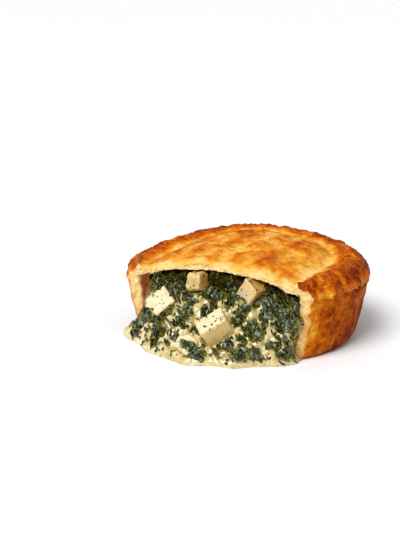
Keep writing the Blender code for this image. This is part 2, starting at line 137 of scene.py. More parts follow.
def readPoints(piece):
    flat = np.empty(len(piece.data.vertices) * 3)
    piece.data.vertices.foreach_get("co", flat)
    return flat.reshape(-1, 3) / mm


def writePoints(piece, points):
    piece.data.vertices.foreach_set("co", (points * mm).ravel())
    piece.data.update()


def applyModifiers(piece):
    graph = bpy.context.evaluated_depsgraph_get()
    mesh = bpy.data.meshes.new_from_object(piece.evaluated_get(graph))
    piece.modifiers.clear()
    piece.data = mesh


def boolean(piece, other, operation):
    step = piece.modifiers.new("boolean", "BOOLEAN")
    step.operation = operation
    step.object = other
    step.solver = "MANIFOLD"
    applyModifiers(piece)
    bpy.data.objects.remove(other)


def turned(name, profile, turns):
    points = [(radius * mm, 0.0, height * mm) for radius, height in profile]
    mesh = bpy.data.meshes.new(name)
    mesh.from_pydata(points, [(i, i + 1) for i in range(len(points) - 1)], [])
    piece = newPiece(name, mesh)
    screw = piece.modifiers.new("turn", "SCREW")
    screw.steps = turns
    screw.render_steps = turns
    screw.use_merge_vertices = True
    screw.merge_threshold = 0.00001
    applyModifiers(piece)
    return piece


def giveNumbers(piece, name, values):
    attribute = piece.data.attributes.new(name, "FLOAT", "POINT")
    attribute.data.foreach_set("value", np.clip(values, 0.0, 1.0).astype(np.float32))


def addMaterials(piece, *materials):
    for material in materials:
        piece.data.materials.append(material)


def repaint(piece, marked, index):
    # faces of the first material whose corners are all marked get another one
    for face in piece.data.polygons:
        if face.material_index == 0 and all(marked[corner] for corner in face.vertices):
            face.material_index = index


def gridFaces(rows, columns):
    faces = []
    for row in range(rows - 1):
        for column in range(columns - 1):
            corner = row * columns + column
            faces.append((corner, corner + 1, corner + columns + 1, corner + columns))
    return faces


def pieceFromShape(name, shape):
    mesh = bpy.data.meshes.new(name)
    shape.to_mesh(mesh)
    shape.free()
    return newPiece(name, mesh)


def sheetShape(points):
    # a sheet through rows and columns of points
    shape = bmesh.new()
    verts = [shape.verts.new(spot) for spot in (points.reshape(-1, 3) * mm).tolist()]
    for face in gridFaces(*points.shape[:2]):
        shape.faces.new([verts[corner] for corner in face])
    return shape


def blockInFront(name, x, y, z):
    # the sheet through these points, drawn out well in front of the pie
    shape = sheetShape(np.stack([x, y, z], axis=-1))
    grown = bmesh.ops.extrude_face_region(shape, geom=list(shape.faces))
    for item in grown["geom"]:
        if isinstance(item, bmesh.types.BMVert):
            item.co.y = wayInFront * mm
    bmesh.ops.recalc_face_normals(shape, faces=shape.faces)
    return pieceFromShape(name, shape)


def mergeParts(name, parts):
    # one piece from many small ones, each with its points and faces first
    points, faces = [], []
    for part in parts:
        first = len(points)
        points += [tuple(point) for point in part[0]]
        faces += [tuple(corner + first for corner in face) for face in part[1]]
    return pieceFromFaces(name, points, faces)


def biggestBody(piece):
    # drops the loose crumbs that the cut leaves
    shape = bmesh.new()
    shape.from_mesh(piece.data)
    left = set(shape.verts)
    bodies = []
    while left:
        body = [left.pop()]
        for vertex in body:
            for edge in vertex.link_edges:
                other = edge.other_vert(vertex)
                if other in left:
                    left.discard(other)
                    body.append(other)
        bodies.append(body)
    bodies.sort(key=len)
    for body in bodies[:-1]:
        bmesh.ops.delete(shape, geom=body, context="VERTS")
    shape.to_mesh(piece.data)
    shape.free()


def addNode(tree, kind, **settings):
    node = tree.nodes.new(kind)
    for name, value in settings.items():
        setattr(node, name, value)
    return node


def plug(tree, source, target):
    # a socket is linked, a plain number is set
    if isinstance(source, bpy.types.NodeSocket):
        tree.links.new(source, target)
    else:
        target.default_value = source


def startMaterial(name):
    material = bpy.data.materials.new(name)
    material.use_nodes = True
    tree = material.node_tree
    return material, tree, tree.nodes["Principled BSDF"]


def textureNode(tree, kind, size):
    # size is how many mm one bump or cell takes
    place = addNode(tree, "ShaderNodeTexCoord")
    texture = addNode(tree, kind)
    texture.inputs["Scale"].default_value = 1.0 / (size * mm)
    tree.links.new(place.outputs["Object"], texture.inputs["Vector"])
    return texture


def noiseNode(tree, size, detail=3.0, bend=0.0):
    texture = textureNode(tree, "ShaderNodeTexNoise", size)
    texture.inputs["Detail"].default_value = detail
    texture.inputs["Distortion"].default_value = bend
    return texture.outputs[0]


def dotsNode(tree, size, outer, inner, share):
    # round dots, one in each cell, that end between these parts of the cell size
    distance = textureNode(tree, "ShaderNodeTexVoronoi", size).outputs["Distance"]
    return mathNode(tree, "MULTIPLY", stepNode(tree, distance, outer, inner), share)


def numbers(tree, name):
    return addNode(tree, "ShaderNodeAttribute", attribute_name=name).outputs["Fac"]


def mathNode(tree, operation, first, second=0.0, third=0.0):
    node = addNode(tree, "ShaderNodeMath", operation=operation)
    for socket, value in zip(node.inputs, (first, second, third)):
        plug(tree, value, socket)
    return node.outputs[0]


def addUp(tree, start, *parts):
    # start plus each (noise, strength), the noise stretched to swing from -1 to 1
    total = start
    for value, strength in parts:
        swing = mathNode(tree, "MULTIPLY_ADD", value, strength * 4.0, strength * -2.0)
        total = mathNode(tree, "ADD", total, swing)
    return total


def rampNode(tree, value, stops):
    ramp = addNode(tree, "ShaderNodeValToRGB")
    points = ramp.color_ramp.elements
    while len(points) < len(stops):
        points.new(0.5)
    for point, (spot, colour) in zip(points, stops):
        point.position = spot
        point.color = (*colour, 1.0)
    plug(tree, value, ramp.inputs["Fac"])
    return ramp.outputs["Color"]


def stepNode(tree, value, low, high, start=0.0, stop=1.0):
    node = addNode(tree, "ShaderNodeMapRange", interpolation_type="SMOOTHSTEP")
    for socket, part in zip(node.inputs, (value, low, high, start, stop)):
        plug(tree, part, socket)
    return node.outputs[0]


def mixNode(tree, share, first, second):
    node = addNode(tree, "ShaderNodeMix", data_type="RGBA")
    plug(tree, share, node.inputs[0])
    for socket, colour in ((node.inputs[6], first), (node.inputs[7], second)):
        plug(tree, colour if isinstance(colour, bpy.types.NodeSocket) else (*colour, 1.0), socket)
    return node.outputs[2]


def bumpNode(tree, height, depth, before=None):
    # depth in mm
    node = addNode(tree, "ShaderNodeBump")
    node.inputs["Strength"].default_value = 1.0
    node.inputs["Distance"].default_value = depth * mm
    plug(tree, height, node.inputs["Height"])
    if before:
        tree.links.new(before, node.inputs["Normal"])
    return node.outputs["Normal"]


def softInside(shader, share, reach, colours):
    # light that goes reach mm into the surface
    shader.inputs["Subsurface Weight"].default_value = share
    shader.inputs["Subsurface Radius"].default_value = colours
    shader.inputs["Subsurface Scale"].default_value = reach * mm


crustLook = {
    "tones": [
        (0.00, (0.83, 0.56, 0.21)),
        (0.20, (0.80, 0.42, 0.065)),
        (0.38, (0.73, 0.26, 0.012)),
        (0.56, (0.58, 0.135, 0.003)),
        (0.74, (0.38, 0.062, 0.002)),
        (1.00, (0.13, 0.018, 0.001)),
    ],
    "patchSize": 6.5,
    "patchStrength": 0.09,
    "speckSize": 2.3,
    "speckStrength": 0.15,
    "grainSize": 0.8,
    "grainStrength": 0.10,
}


def crustMaterial(name, roughLow, roughHigh, gloss, grainDepth):
    look = crustLook
    material, tree, shader = startMaterial(name)
    patches = noiseNode(tree, look["patchSize"], 4.0, 0.8)
    specks = noiseNode(tree, look["speckSize"], 4.0, 0.6)
    grain = noiseNode(tree, look["grainSize"], 3.0)
    tone = addUp(tree, numbers(tree, "browning"), (patches, look["patchStrength"]),
                 (specks, look["speckStrength"]), (grain, look["grainStrength"]))
    plug(tree, rampNode(tree, tone, look["tones"]), shader.inputs["Base Color"])
    plug(tree, stepNode(tree, specks, 0.35, 0.65, roughLow, roughHigh), shader.inputs["Roughness"])
    shader.inputs["Specular IOR Level"].default_value = gloss
    softInside(shader, 0.06, 1.0, (1.0, 0.45, 0.12))
    rough = bumpNode(tree, specks, grainDepth * 2.2)
    plug(tree, bumpNode(tree, grain, grainDepth, rough), shader.inputs["Normal"])
    return material


crumbLook = {
    "tones": [
        (0.20, (0.66, 0.30, 0.045)),
        (0.45, (0.76, 0.46, 0.130)),
        (0.75, (0.90, 0.68, 0.34)),
    ],
    "tone": 0.62,           # where most of it lies on those tones
    "skin": (0.72, 0.31, 0.035),
    "moist": (0.17, 0.040, 0.001),
    "flakeSize": 3.0,
    "flakeStrength": 0.16,
    "grainSize": 1.0,
    "grainStrength": 0.26,
}


def crumbMaterial(name):
    look = crumbLook
    material, tree, shader = startMaterial(name)
    flakes = noiseNode(tree, look["flakeSize"], 4.0, 0.6)
    grain = noiseNode(tree, look["grainSize"], 4.0)
    tone = addUp(tree, look["tone"], (flakes, look["flakeStrength"]), (grain, look["grainStrength"]))
    colour = rampNode(tree, tone, look["tones"])
    colour = mixNode(tree, numbers(tree, "skin"), colour, look["skin"])
    colour = mixNode(tree, numbers(tree, "moist"), colour, look["moist"])
    plug(tree, colour, shader.inputs["Base Color"])
    shader.inputs["Roughness"].default_value = 0.80
    shader.inputs["Specular IOR Level"].default_value = 0.04
    softInside(shader, 0.15, 1.2, (1.0, 0.55, 0.20))
    rough = bumpNode(tree, flakes, 0.30)
    plug(tree, bumpNode(tree, grain, 0.16, rough), shader.inputs["Normal"])
    return material


leafLook = {
    "tones": [
        (0.20, (0.003, 0.005, 0.001)),
        (0.42, (0.010, 0.017, 0.002)),
        (0.60, (0.046, 0.060, 0.004)),
        (0.80, (0.170, 0.168, 0.008)),
    ],
    "cream": (0.44, 0.37, 0.13),
    "rim": (0.27, 0.235, 0.012),
    # painted highlight: a pale wet sheen painted on the highest crests
    "paintedSheen": (0.35, 0.41, 0.34),
    "paintedSheenShare": 0.56,
    "patchSize": 2.6,
    "wrinkleSize": 1.3,
    "streakSize": 2.0,
}
creamLook = {
    "tones": [
        (0.08, (0.18, 0.145, 0.030)),
        (0.33, (0.44, 0.336, 0.110)),
        (0.56, (0.64, 0.515, 0.23)),
        (0.82, (0.79, 0.710, 0.49)),
    ],
    "swirlSize": 5.0,
    "swirlStrength": 0.22,
    "grainSize": 1.3,
    "grainStrength": 0.12,
    # painted shade: the sauce under the lid, browned by the oven and painted nearly black as the lid's shade
    "underLid": (0.014, 0.010, 0.002),
    "underLidBits": (0.075, 0.055, 0.007),
    "soaked": (0.20, 0.062, 0.003),
    "oilDots": (0.50, 0.30, 0.02),
    "greenDots": (0.07, 0.08, 0.010),
}


def leafTones(tree):
    # creases painted nearly black as shade, crests painted lighter green as light, with a pale painted
    # highlight on the highest
    wide = noiseNode(tree, leafLook["patchSize"], 3.0, 0.8)
    wrinkles = noiseNode(tree, leafLook["wrinkleSize"], 2.0, 1.2)
    crests = mathNode(tree, "MULTIPLY_ADD", numbers(tree, "crest"), 0.50, 0.13)
    tone = addUp(tree, crests, (wide, 0.12), (wrinkles, 0.10))
    foliage = rampNode(tree, tone, leafLook["tones"])
    paintedSheen = addUp(tree, numbers(tree, "crest"), (wrinkles, 0.22), (wide, 0.16))
    share = mathNode(tree, "MULTIPLY", stepNode(tree, paintedSheen, 0.96, 1.05), leafLook["paintedSheenShare"])
    return mixNode(tree, share, foliage, leafLook["paintedSheen"]), wide, wrinkles


def fillingMaterial(name, gloss):
    # cream sauce, and wilted leaf where the number "leaf" is near 1
    look = creamLook
    material, tree, shader = startMaterial(name)
    swirl = noiseNode(tree, look["swirlSize"], 4.0, 1.2)
    fine = noiseNode(tree, look["grainSize"], 3.0, 0.4)
    tone = addUp(tree, numbers(tree, "milkyAndLit"), (swirl, look["swirlStrength"]), (fine, look["grainStrength"]))
    sauce = rampNode(tree, tone, look["tones"])
    sauce = mixNode(tree, dotsNode(tree, 2.3, 0.18, 0.10, 0.55), sauce, look["oilDots"])
    sauce = mixNode(tree, dotsNode(tree, 1.5, 0.17, 0.08, 0.40), sauce, look["greenDots"])
    foliage, _wide, wrinkles = leafTones(tree)
    ragged = addUp(tree, numbers(tree, "leaf"), (wrinkles, 0.14), (fine, 0.10))
    rim = mixNode(tree, stepNode(tree, ragged, 0.52, 0.95), leafLook["rim"], foliage)
    covered = stepNode(tree, ragged, 0.26, 0.52)
    colour = mixNode(tree, covered, sauce, rim)
    # under the lid: baked sauce with painted shade, and olive bits in it
    bits = mixNode(tree, stepNode(tree, wrinkles, 0.50, 0.60), look["underLid"], look["underLidBits"])
    colour = mixNode(tree, numbers(tree, "bakedAndShaded"), colour, bits)
    colour = mixNode(tree, numbers(tree, "soaked"), colour, look["soaked"])
    plug(tree, colour, shader.inputs["Base Color"])
    wet = stepNode(tree, fine, 0.3, 0.7, 0.07, 0.15)
    dry = mathNode(tree, "MULTIPLY", numbers(tree, "bakedAndShaded"), 0.95)
    plug(tree, mathNode(tree, "ADD", wet, dry), shader.inputs["Roughness"])
    shader.inputs["Specular IOR Level"].default_value = gloss
    softInside(shader, 0.12, 1.0, (1.0, 0.75, 0.3))
    depth = addUp(tree, fine, (wrinkles, 0.20))
    plug(tree, bumpNode(tree, depth, 0.03), shader.inputs["Normal"])
    return material


def leafMaterial(name):
    look = leafLook
    material, tree, shader = startMaterial(name)
    foliage, wide, wrinkles = leafTones(tree)
    streaks = noiseNode(tree, look["streakSize"], 3.0, 2.0)
    smear = addUp(tree, numbers(tree, "creamy"), (streaks, 0.32), (wrinkles, 0.10))
    colour = mixNode(tree, stepNode(tree, smear, 0.29, 0.46), foliage, look["rim"])
    colour = mixNode(tree, stepNode(tree, smear, 0.52, 0.66), colour, look["cream"])
    plug(tree, colour, shader.inputs["Base Color"])
    plug(tree, stepNode(tree, wide, 0.3, 0.7, 0.06, 0.14), shader.inputs["Roughness"])
    shader.inputs["Specular IOR Level"].default_value = 0.45
    plug(tree, bumpNode(tree, wrinkles, 0.02), shader.inputs["Normal"])
    return material


cheeseLook = {
    "tones": [
        (0.25, (0.66, 0.51, 0.25)),
        (0.50, (0.77, 0.65, 0.40)),
        (0.75, (0.83, 0.75, 0.53)),
    ],
    "tone": 0.52,
    "cloudSize": 3.4,
    "cloudStrength": 0.13,
    "curdSize": 1.1,
    "curdStrength": 0.08,
    "shaded": (0.82, 0.57, 0.19),
    "brownedAndShaded": (0.40, 0.19, 0.020),
    "spiceDots": (0.55, 0.27, 0.04),
}


def cheeseMaterial(name):
    look = cheeseLook
    material, tree, shader = startMaterial(name)
    clouds = noiseNode(tree, look["cloudSize"], 3.0, 0.5)
    curd = noiseNode(tree, look["curdSize"], 4.0)
    tone = addUp(tree, look["tone"], (clouds, look["cloudStrength"]), (curd, look["curdStrength"]))
    colour = rampNode(tree, tone, look["tones"])
    # painted shade on the sides away from the light and under the lid, then browning with painted shade on
    # the sides that face right
    colour = mixNode(tree, numbers(tree, "paintedShade"), colour, look["shaded"])
    colour = mixNode(tree, numbers(tree, "brownedAndShaded"), colour, look["brownedAndShaded"])
    colour = mixNode(tree, dotsNode(tree, 1.6, 0.17, 0.09, 0.65), colour, look["spiceDots"])
    plug(tree, colour, shader.inputs["Base Color"])
    shader.inputs["Roughness"].default_value = 0.40
    shader.inputs["Specular IOR Level"].default_value = 0.35
    softInside(shader, 0.30, 1.8, (1.0, 0.65, 0.28))
    plug(tree, bumpNode(tree, curd, 0.20), shader.inputs["Normal"])
    return material


def plainMaterial(name, first, second, size, roughness, depth):
    material, tree, shader = startMaterial(name)
    cloud = noiseNode(tree, size, 3.0)
    plug(tree, mixNode(tree, stepNode(tree, cloud, 0.3, 0.7), first, second), shader.inputs["Base Color"])
    shader.inputs["Roughness"].default_value = roughness
    plug(tree, bumpNode(tree, cloud, depth), shader.inputs["Normal"])
    return material


# radius and height of the lid's top and underside, from the middle out
lidTop = [
    (0.0, pastry["domeHeight"]),
    (12.0, pastry["domeHeight"] - 0.4),
    (22.0, pastry["domeHeight"] - 1.6),
    (30.0, pastry["domeHeight"] - 3.3),
    (36.0, pastry["creaseHeight"] + 2.0),
    (pastry["creaseRadius"], pastry["creaseHeight"]),
    (44.5, pastry["crestHeight"] - 0.7),
    (pastry["crestRadius"], pastry["crestHeight"]),
    (54.5, pastry["crestHeight"] - 1.9),
    (57.8, pastry["crestHeight"] - 4.4),
    (pastry["rimRadius"] - 0.2, pastry["rimHeight"]),
    (59.6, pastry["seamHeight"] + 0.9),
]
lidUnderside = [
    (0.0, pastry["domeHeight"] - pastry["crust"]),
    (22.0, pastry["domeHeight"] - pastry["crust"] - 0.8),
    (31.0, pastry["creaseHeight"] + 0.6),
    (36.0, pastry["creaseHeight"] - 1.0),
    (pastry["creaseRadius"], pastry["creaseHeight"] - 3.9),
    (46.0, pastry["seamHeight"] + 4.2),
    (50.5, pastry["seamHeight"] + 2.8),
    (pastry["seamRadius"] - pastry["crust"], pastry["seamHeight"] + 0.3),
    (pastry["seamRadius"] - 0.4, pastry["seamHeight"] + 0.3),
]
# how far the lid stands up and its crease stands out, by angle from +X,
# counted on past 180 up to the cut
lidLiftByAngle = [
    (-90.0, -0.8), (-45.0, -1.5), (-20.0, -0.9), (0.0, -0.3), (30.0, 0.3), (60.0, 0.8),
    (80.0, 1.5), (95.0, 2.3), (110.0, 2.7), (122.0, 2.4), (135.0, 1.2), (151.0, -0.4),
    (167.0, -1.6), (183.0, -3.1), (215.0, -2.6), (235.0, -1.9), (270.0, -0.8),
]
creaseOutByAngle = [
    (-90.0, 9.5), (-45.0, 9.5), (-38.0, 8.5), (-30.0, 5.5), (-20.0, 2.2),
    (-10.0, 1.0), (10.0, 0.0), (30.0, 1.5), (90.0, 0.8), (150.0, -0.5), (175.0, -0.8),
    (190.0, 1.5), (205.0, 5.0), (215.0, 8.5), (225.0, 9.5), (270.0, 9.5),
]


def caseOutside():
    seam, base, high = pastry["seamRadius"], pastry["baseRadius"], pastry["seamHeight"]
    return [
        (seam, high - 0.8), (seam - 0.9, 23.0), (seam - 2.4, 15.0), (seam - 4.4, 6.0),
        (base + 2.8, 2.2), (base + 1.4, 0.6), (base, 0.0),
    ]


def caseInside(grow=0.0):
    innerTop = pastry["seamRadius"] - pastry["crust"]
    return [
        (0.0, pastry["floor"] + grow),
        (pastry["baseRadius"] - 4.0 - grow, pastry["floor"] + grow),
        (pastry["baseRadius"] - 0.6 - grow, pastry["floor"] + 3.0),
        (innerTop - 1.9 - grow, 17.0),
        (innerTop - grow, pastry["seamHeight"] + grow),
    ]


def cutY(z):
    # the cut leans forward with the wall
    low, high = pastry["cutAtBase"], pastry["cutAtSeam"]
    return low + (high - low) * np.clip(z / pastry["seamHeight"], 0.0, 1.25)


def angleOf(x, y):
    angle = np.degrees(np.arctan2(y, x))
    return np.where(angle < -90.0, angle + 360.0, angle)


def liftAt(x, y):
    return along(lidLiftByAngle, angleOf(x, y)) * smooth(10.0, 44.0, np.hypot(x, y))


def drawnOut(radius, angle):
    reach = smooth(16.0, pastry["creaseRadius"], radius) * smooth(58.0, pastry["creaseRadius"] + 1.0, radius)
    return radius + along(creaseOutByAngle, angle) * reach


def notDrawnOut(radius, angle):
    # the radius that drawnOut would take to this one
    low, high = np.zeros_like(radius), np.array(radius)
    for _halving in range(14):
        middle = (low + high) / 2.0
        short = drawnOut(middle, angle) < radius
        low = np.where(short, middle, low)
        high = np.where(short, high, middle)
    return low


def undersideFade(radius):
    return smooth(54.0, 46.0, radius)


def nearCut(y, z, reach):
    # 1 at the cut, 0 from reach mm behind it
    return smooth(reach, 0.0, y - cutY(z))


lidLook = {
    "turns": 570,
    "gap": 0.55,            # mm between the rings of the top
    "crimps": 60,
    "crimpDepth": 0.55,
    "hills": 0.85,
    "ridges": 0.45,
    "domeGrain": 0.28,
    "bandBlister": 1.25,
    "bandGrain": 0.30,
    "raggedEdge": 2.0,
    "cutRound": 1.5,
    "browning": 0.40,
    "bandBrowning": 0.30,
    "creasePaler": 0.18,
    "rimPaler": 0.14,
    "cutPaler": 0.34,
}


def ridged(x, y, z, size):
    return 1.0 - np.abs(bumps(x, y, z, size)) * 2.6


def hillsAt(x, y):
    # broad swellings of the dome, which the oven browns first
    return bumps(x, y * 0.7, 70.0, 9.0) + 0.6 * bumps(x, y * 0.7, 75.0, 4.4)


def ridgesAt(x, y):
    # soft ridges that follow the round of the lid
    radius = np.hypot(x, y)
    arc = np.radians(angleOf(x, y)) * 9.0
    return ridged(radius, arc, 12.0, 5.2) * (0.5 + 0.6 * bumps(x, y, 50.0, 12.0))


def blistersAt(x, y):
    return blisters(x, y, 0.0, 3.3) + 0.45 * blisters(x, y, 9.0, 1.7) - 0.5


def shapeLid(points):
    look = lidLook
    x, y, z = points.T
    radius = np.maximum(np.hypot(x, y), 0.001)
    angle = angleOf(x, y)
    wider = drawnOut(radius, angle)
    newX, newY = x * wider / radius, y * wider / radius
    under = z < along(underCurve, radius) + 0.1
    lift = liftAt(x, y)
    band = smooth(pastry["creaseRadius"] - 3.0, pastry["creaseRadius"] + 5.0, radius)
    # large forms, as the solid has them
    top = z + lift * smooth(60.0, 55.5, radius)
    top += (1.0 - band) * (bumps(x, y, 3.0, 15.0) + 0.5 * bumps(x, y, 9.0, 7.0))
    top += band * 0.7 * bumps(x, y, 5.0, 6.0)
    # fine relief: soft ridges on the dome, blisters on the band
    dome = look["hills"] * hillsAt(newX, newY) + look["ridges"] * ridgesAt(newX, newY)
    dome += look["domeGrain"] * (1.6 * bumps(newX, newY, 2.0, 3.2) + bumps(newX, newY, 4.0, 1.3))
    patchy = 0.60 + 0.50 * bumps(newX, newY, 70.0, 8.0)
    rim = look["bandBlister"] * blistersAt(newX, newY) * patchy
    rim += look["bandGrain"] * (bumps(newX, newY, 6.0, 1.5) + 0.7 * bumps(newX, newY, 8.0, 0.8))
    top += (1.0 - band) * dome + band * rim
    # the torn edge is rounded over
    top -= look["cutRound"] * nearCut(newY, z, 4.0) ** 2 * (1.0 - 0.6 * band)
    # scallops round the edge
    edge = smooth(56.0, 56.4, radius)
    deep = 0.5 + 0.5 * bumps(x, y, 0.0, 9.0)
    spread = look["crimpDepth"] * deep * np.cos(np.radians(angle) * look["crimps"]) - 0.3
    spread -= 1.1 * smooth(188.0, 212.0, angle)
    spread += 0.40 * bumps(x, y, z * 1.3, 3.0) + 0.18 * bumps(x, y, z, 1.2)
    outer = wider + edge * spread
    torn = bumps(newX, newY, 15.0, 1.5) + 0.6 * bumps(newX, newY, 17.0, 0.8)
    top += 0.30 * nearCut(newY, z, 6.0) * torn
    # the underside hangs in crumbs near the cut
    low = z + lift * undersideFade(radius)
    close = nearCut(y, z, 7.0)
    crumbs = bumps(x, y, 5.0, 1.9) + 0.8 * bumps(x, y, 7.0, 1.0)
    low += close * undersideFade(radius) * look["raggedEdge"] * crumbs
    wide = np.where(under, wider, outer)
    return np.stack([x * wide / radius, y * wide / radius, np.where(under, low, top)], axis=1)


cutLook = {
    "cell": 0.36,
    "halfWidth": 64.0,
    "coarse": 0.60,
    "fine": 0.55,
    "pores": 0.10,
}


def raggedCut(x, z):
    # how far the torn face stands out from the plane of the cut
    look = cutLook
    rag = look["coarse"] * (bumps(x, 0.0, z, 4.2) + 0.6 * bumps(x, 7.0, z, 2.4))
    # crumbly along the lid, drawn out in height along the walls
    high = z * (0.35 + 0.65 * smooth(26.0, 31.0, z))
    rag += look["fine"] * (bumps(x, 3.0, high, 1.4) + 0.4 * bumps(x, 3.0, high, 0.8))
    rag += look["pores"] * blisters(x, 11.0, z, 1.5) - look["pores"] / 2
    return rag


def cutBlock(name, low, high, ahead=0.0):
    # everything in front of the cut; its back face is torn like short pastry
    cell, width = cutLook["cell"], cutLook["halfWidth"]
    columns, rows = round(2 * width / cell) + 1, round((high - low) / cell) + 1
    x, z = np.meshgrid(np.linspace(-width, width, columns), np.linspace(low, high, rows))
    block = blockInFront(name, x, cutY(z) + raggedCut(x, z) - ahead, z)
    # its faces carry the second material, so that the cut does too
    addMaterials(block, crust, crumb)
    faces = block.data.polygons
    faces.foreach_set("material_index", np.ones(len(faces), dtype=np.int32))
    return block


# soft patches baked darker (+) or left paler (-) on the lid: x, y, radius, strength
lidPatches = [
    (11.0, -26.7, 6.5, 0.02),
    (27.0, -27.0, 5.0, 0.05),
    (-5.4, 10.9, 7.0, 0.26),
    (26.7, -9.1, 7.5, 0.12),
    (-5.2, -22.2, 6.5, -0.16),
    (43.3, -15.3, 7.0, -0.14),
]


def lidBrowning(points):
    look = lidLook
    x, y, z = points.T
    radius = np.hypot(x, y)
    angle = angleOf(x, y)
    inner = notDrawnOut(radius, angle)
    crease = pastry["creaseRadius"]
    band = smooth(crease + 0.5, crease + 7.5, inner)
    tone = np.full_like(x, look["browning"])
    dome = 0.36 * hillsAt(x, y) + 0.07 * ridgesAt(x, y) + 0.10 * bumps(x, y * 0.6, 20.0, 2.6)
    tone += (1.0 - band) * dome
    tone += band * (look["bandBrowning"] + 0.20 * blistersAt(x, y) + 0.28 * bumps(x, y, 33.0, 7.0))
    tone -= look["creasePaler"] * np.exp(-((inner - crease) / 2.4) ** 2)
    # darker at the outer turn of the band on the right, as painted shade on the side away from the light
    tone += 0.09 * smooth(50.0, 57.0, radius) * smooth(33.0, 35.0, z) * smooth(70.0, -20.0, angle)
    # the upright edge under the band stays paler
    tone -= look["rimPaler"] * smooth(35.0, 31.5, z) * smooth(50.0, 54.0, radius)
    tone -= look["cutPaler"] * nearCut(y, z, 6.5) * (1.0 - 0.8 * band)
    for left, back, size, strength in lidPatches:
        tone += strength * np.exp(-((x - left) ** 2 + (y - back) ** 2) / size ** 2)
    return tone


def thickShare(x, y):
    return smooth(pastry["thickFrom"], pastry["thickTo"], angleOf(x, y))


def pastryNumbers(piece, browning, depth, moistFrom):
    # depth: mm from the baked outside of the crust, for the torn face
    giveNumbers(piece, "browning", browning)
    giveNumbers(piece, "skin", 0.70 * smooth(1.8, 0.2, depth))
    giveNumbers(piece, "moist", 0.97 * smooth(moistFrom, moistFrom + 2.2, depth))


def buildLid():
    upper = curveThrough(lidTop, lidLook["gap"])
    lower = curveThrough(lidUnderside, lidLook["gap"] * 1.6)
    piece = turned("bakedLid", upper + lower[::-1], lidLook["turns"])
    writePoints(piece, shapeLid(readPoints(piece)))
    addMaterials(piece, crust, crumb)
    boolean(piece, cutBlock("lidCut", 22.0, 52.0), "DIFFERENCE")
    biggestBody(piece)
    points = readPoints(piece)
    x, y, z = points.T
    inner = notDrawnOut(np.hypot(x, y), angleOf(x, y))
    surface = along(topCurve, inner) + liftAt(x, y) * smooth(60.0, 55.5, inner)
    pastryNumbers(piece, lidBrowning(points), np.maximum(surface - z, 0.0), pastry["crust"] + 1.0)
    piece.data.shade_smooth()
    return piece


caseLook = {
    "turns": 560,
    "gap": 0.6,
    "hollows": 0.45,
    "dents": 0.30,
    "grain": 0.11,
    "browning": 0.57,
    # painted shade on the right side of the wall, away from the light
    "rightShade": 0.20,
    "skinDepth": 2.4,       # mm from the outside to where the inner wall's finish begins
    "innerBrowning": 0.76,
}


def shapeCase(points):
    look = caseLook
    x, y, z = points.T
    radius = np.maximum(np.hypot(x, y), 0.001)
    innerWall = along([(height, wide) for wide, height in caseInside()[1:]], z)
    outside = (z > -0.1) & (radius > np.where(z < 1.0, pastry["baseRadius"] - 1.0, innerWall + 2.0))
    push = look["hollows"] * bumps(x, y, z * 1.6, 12.0)
    push += look["dents"] * (bumps(x, y, z, 3.6) + 0.6 * bumps(x, y, z * 1.4, 2.0))
    push += look["grain"] * bumps(x, y, z, 0.9)
    wide = radius + np.where(outside, push, 0.0) * smooth(0.3, 1.6, z)
    # the wall is thicker at the left end of the cut, where it stands up to the lid
    thick = (radius < innerWall + 0.4) & (radius > pastry["baseRadius"] - 6.0) & (z > 1.0)
    share = np.where(thick, thickShare(x, y), 0.0)
    wide = wide - share * along(pastry["thickEnd"], z)
    newX, newY = x * wide / radius, y * wide / radius
    raised = share * (z > pastry["seamHeight"] - 0.1) * (underLidAt(newX, newY) + 1.2 - z)
    return np.stack([newX, newY, z + raised], axis=1)


def buildCase():
    look = caseLook
    high, seam = pastry["seamHeight"] + 0.35, pastry["seamRadius"]
    innerTop = seam - pastry["crust"]
    inner = straightThrough(caseInside()[:-1] + [(innerTop, high)], look["gap"] * 2)
    brim = [(innerTop + 0.8, high + 0.8), (seam - 0.5, high + 0.8), (seam + 0.5, high + 0.9),
            (seam + 0.75, high - 0.3), (seam + 0.5, high - 1.0)]
    outside = curveThrough(caseOutside(), look["gap"])
    piece = turned("bakedCase", inner + brim + outside + [(0.0, 0.0)], look["turns"])
    writePoints(piece, shapeCase(readPoints(piece)))
    addMaterials(piece, wallCrust, crumb)
    boolean(piece, cutBlock("caseCut", -3.0, 36.0, 0.08), "DIFFERENCE")
    biggestBody(piece)
    x, y, z = readPoints(piece).T
    radius = np.hypot(x, y)
    outer = along([(height, wide) for wide, height in caseOutside()[::-1]], z)
    depth = np.maximum(outer - radius, 0.0)
    angle = angleOf(x, y)
    tone = look["browning"] + 0.08 * smooth(18.0, 3.0, z) - 0.08 * smooth(20.0, 27.0, z)
    tone += 0.20 * bumps(x, y, z, 9.0) + 0.18 * bumps(x, y, z, 4.0) + 0.12 * bumps(x, y, z * 0.7, 1.7)
    # painted shade on the right side, away from the light; paler near the cut
    tone += look["rightShade"] * smooth(-38.0, -5.0, angle) - 0.12 * nearCut(y, z, 6.0)
    tone += 0.14 * smooth(0.9, 0.2, pastry["seamHeight"] - 0.6 - z)
    inside = radius < outer - look["skinDepth"]
    tone = np.where(inside, look["innerBrowning"], tone)
    pastryNumbers(piece, tone, depth, 3.0 + 0.8 * thickShare(x, y) + 0.8 * bumps(x, y, z, 3.0))
    addMaterials(piece, innerCrust)
    repaint(piece, inside, 2)
    piece.data.shade_smooth()
    return piece


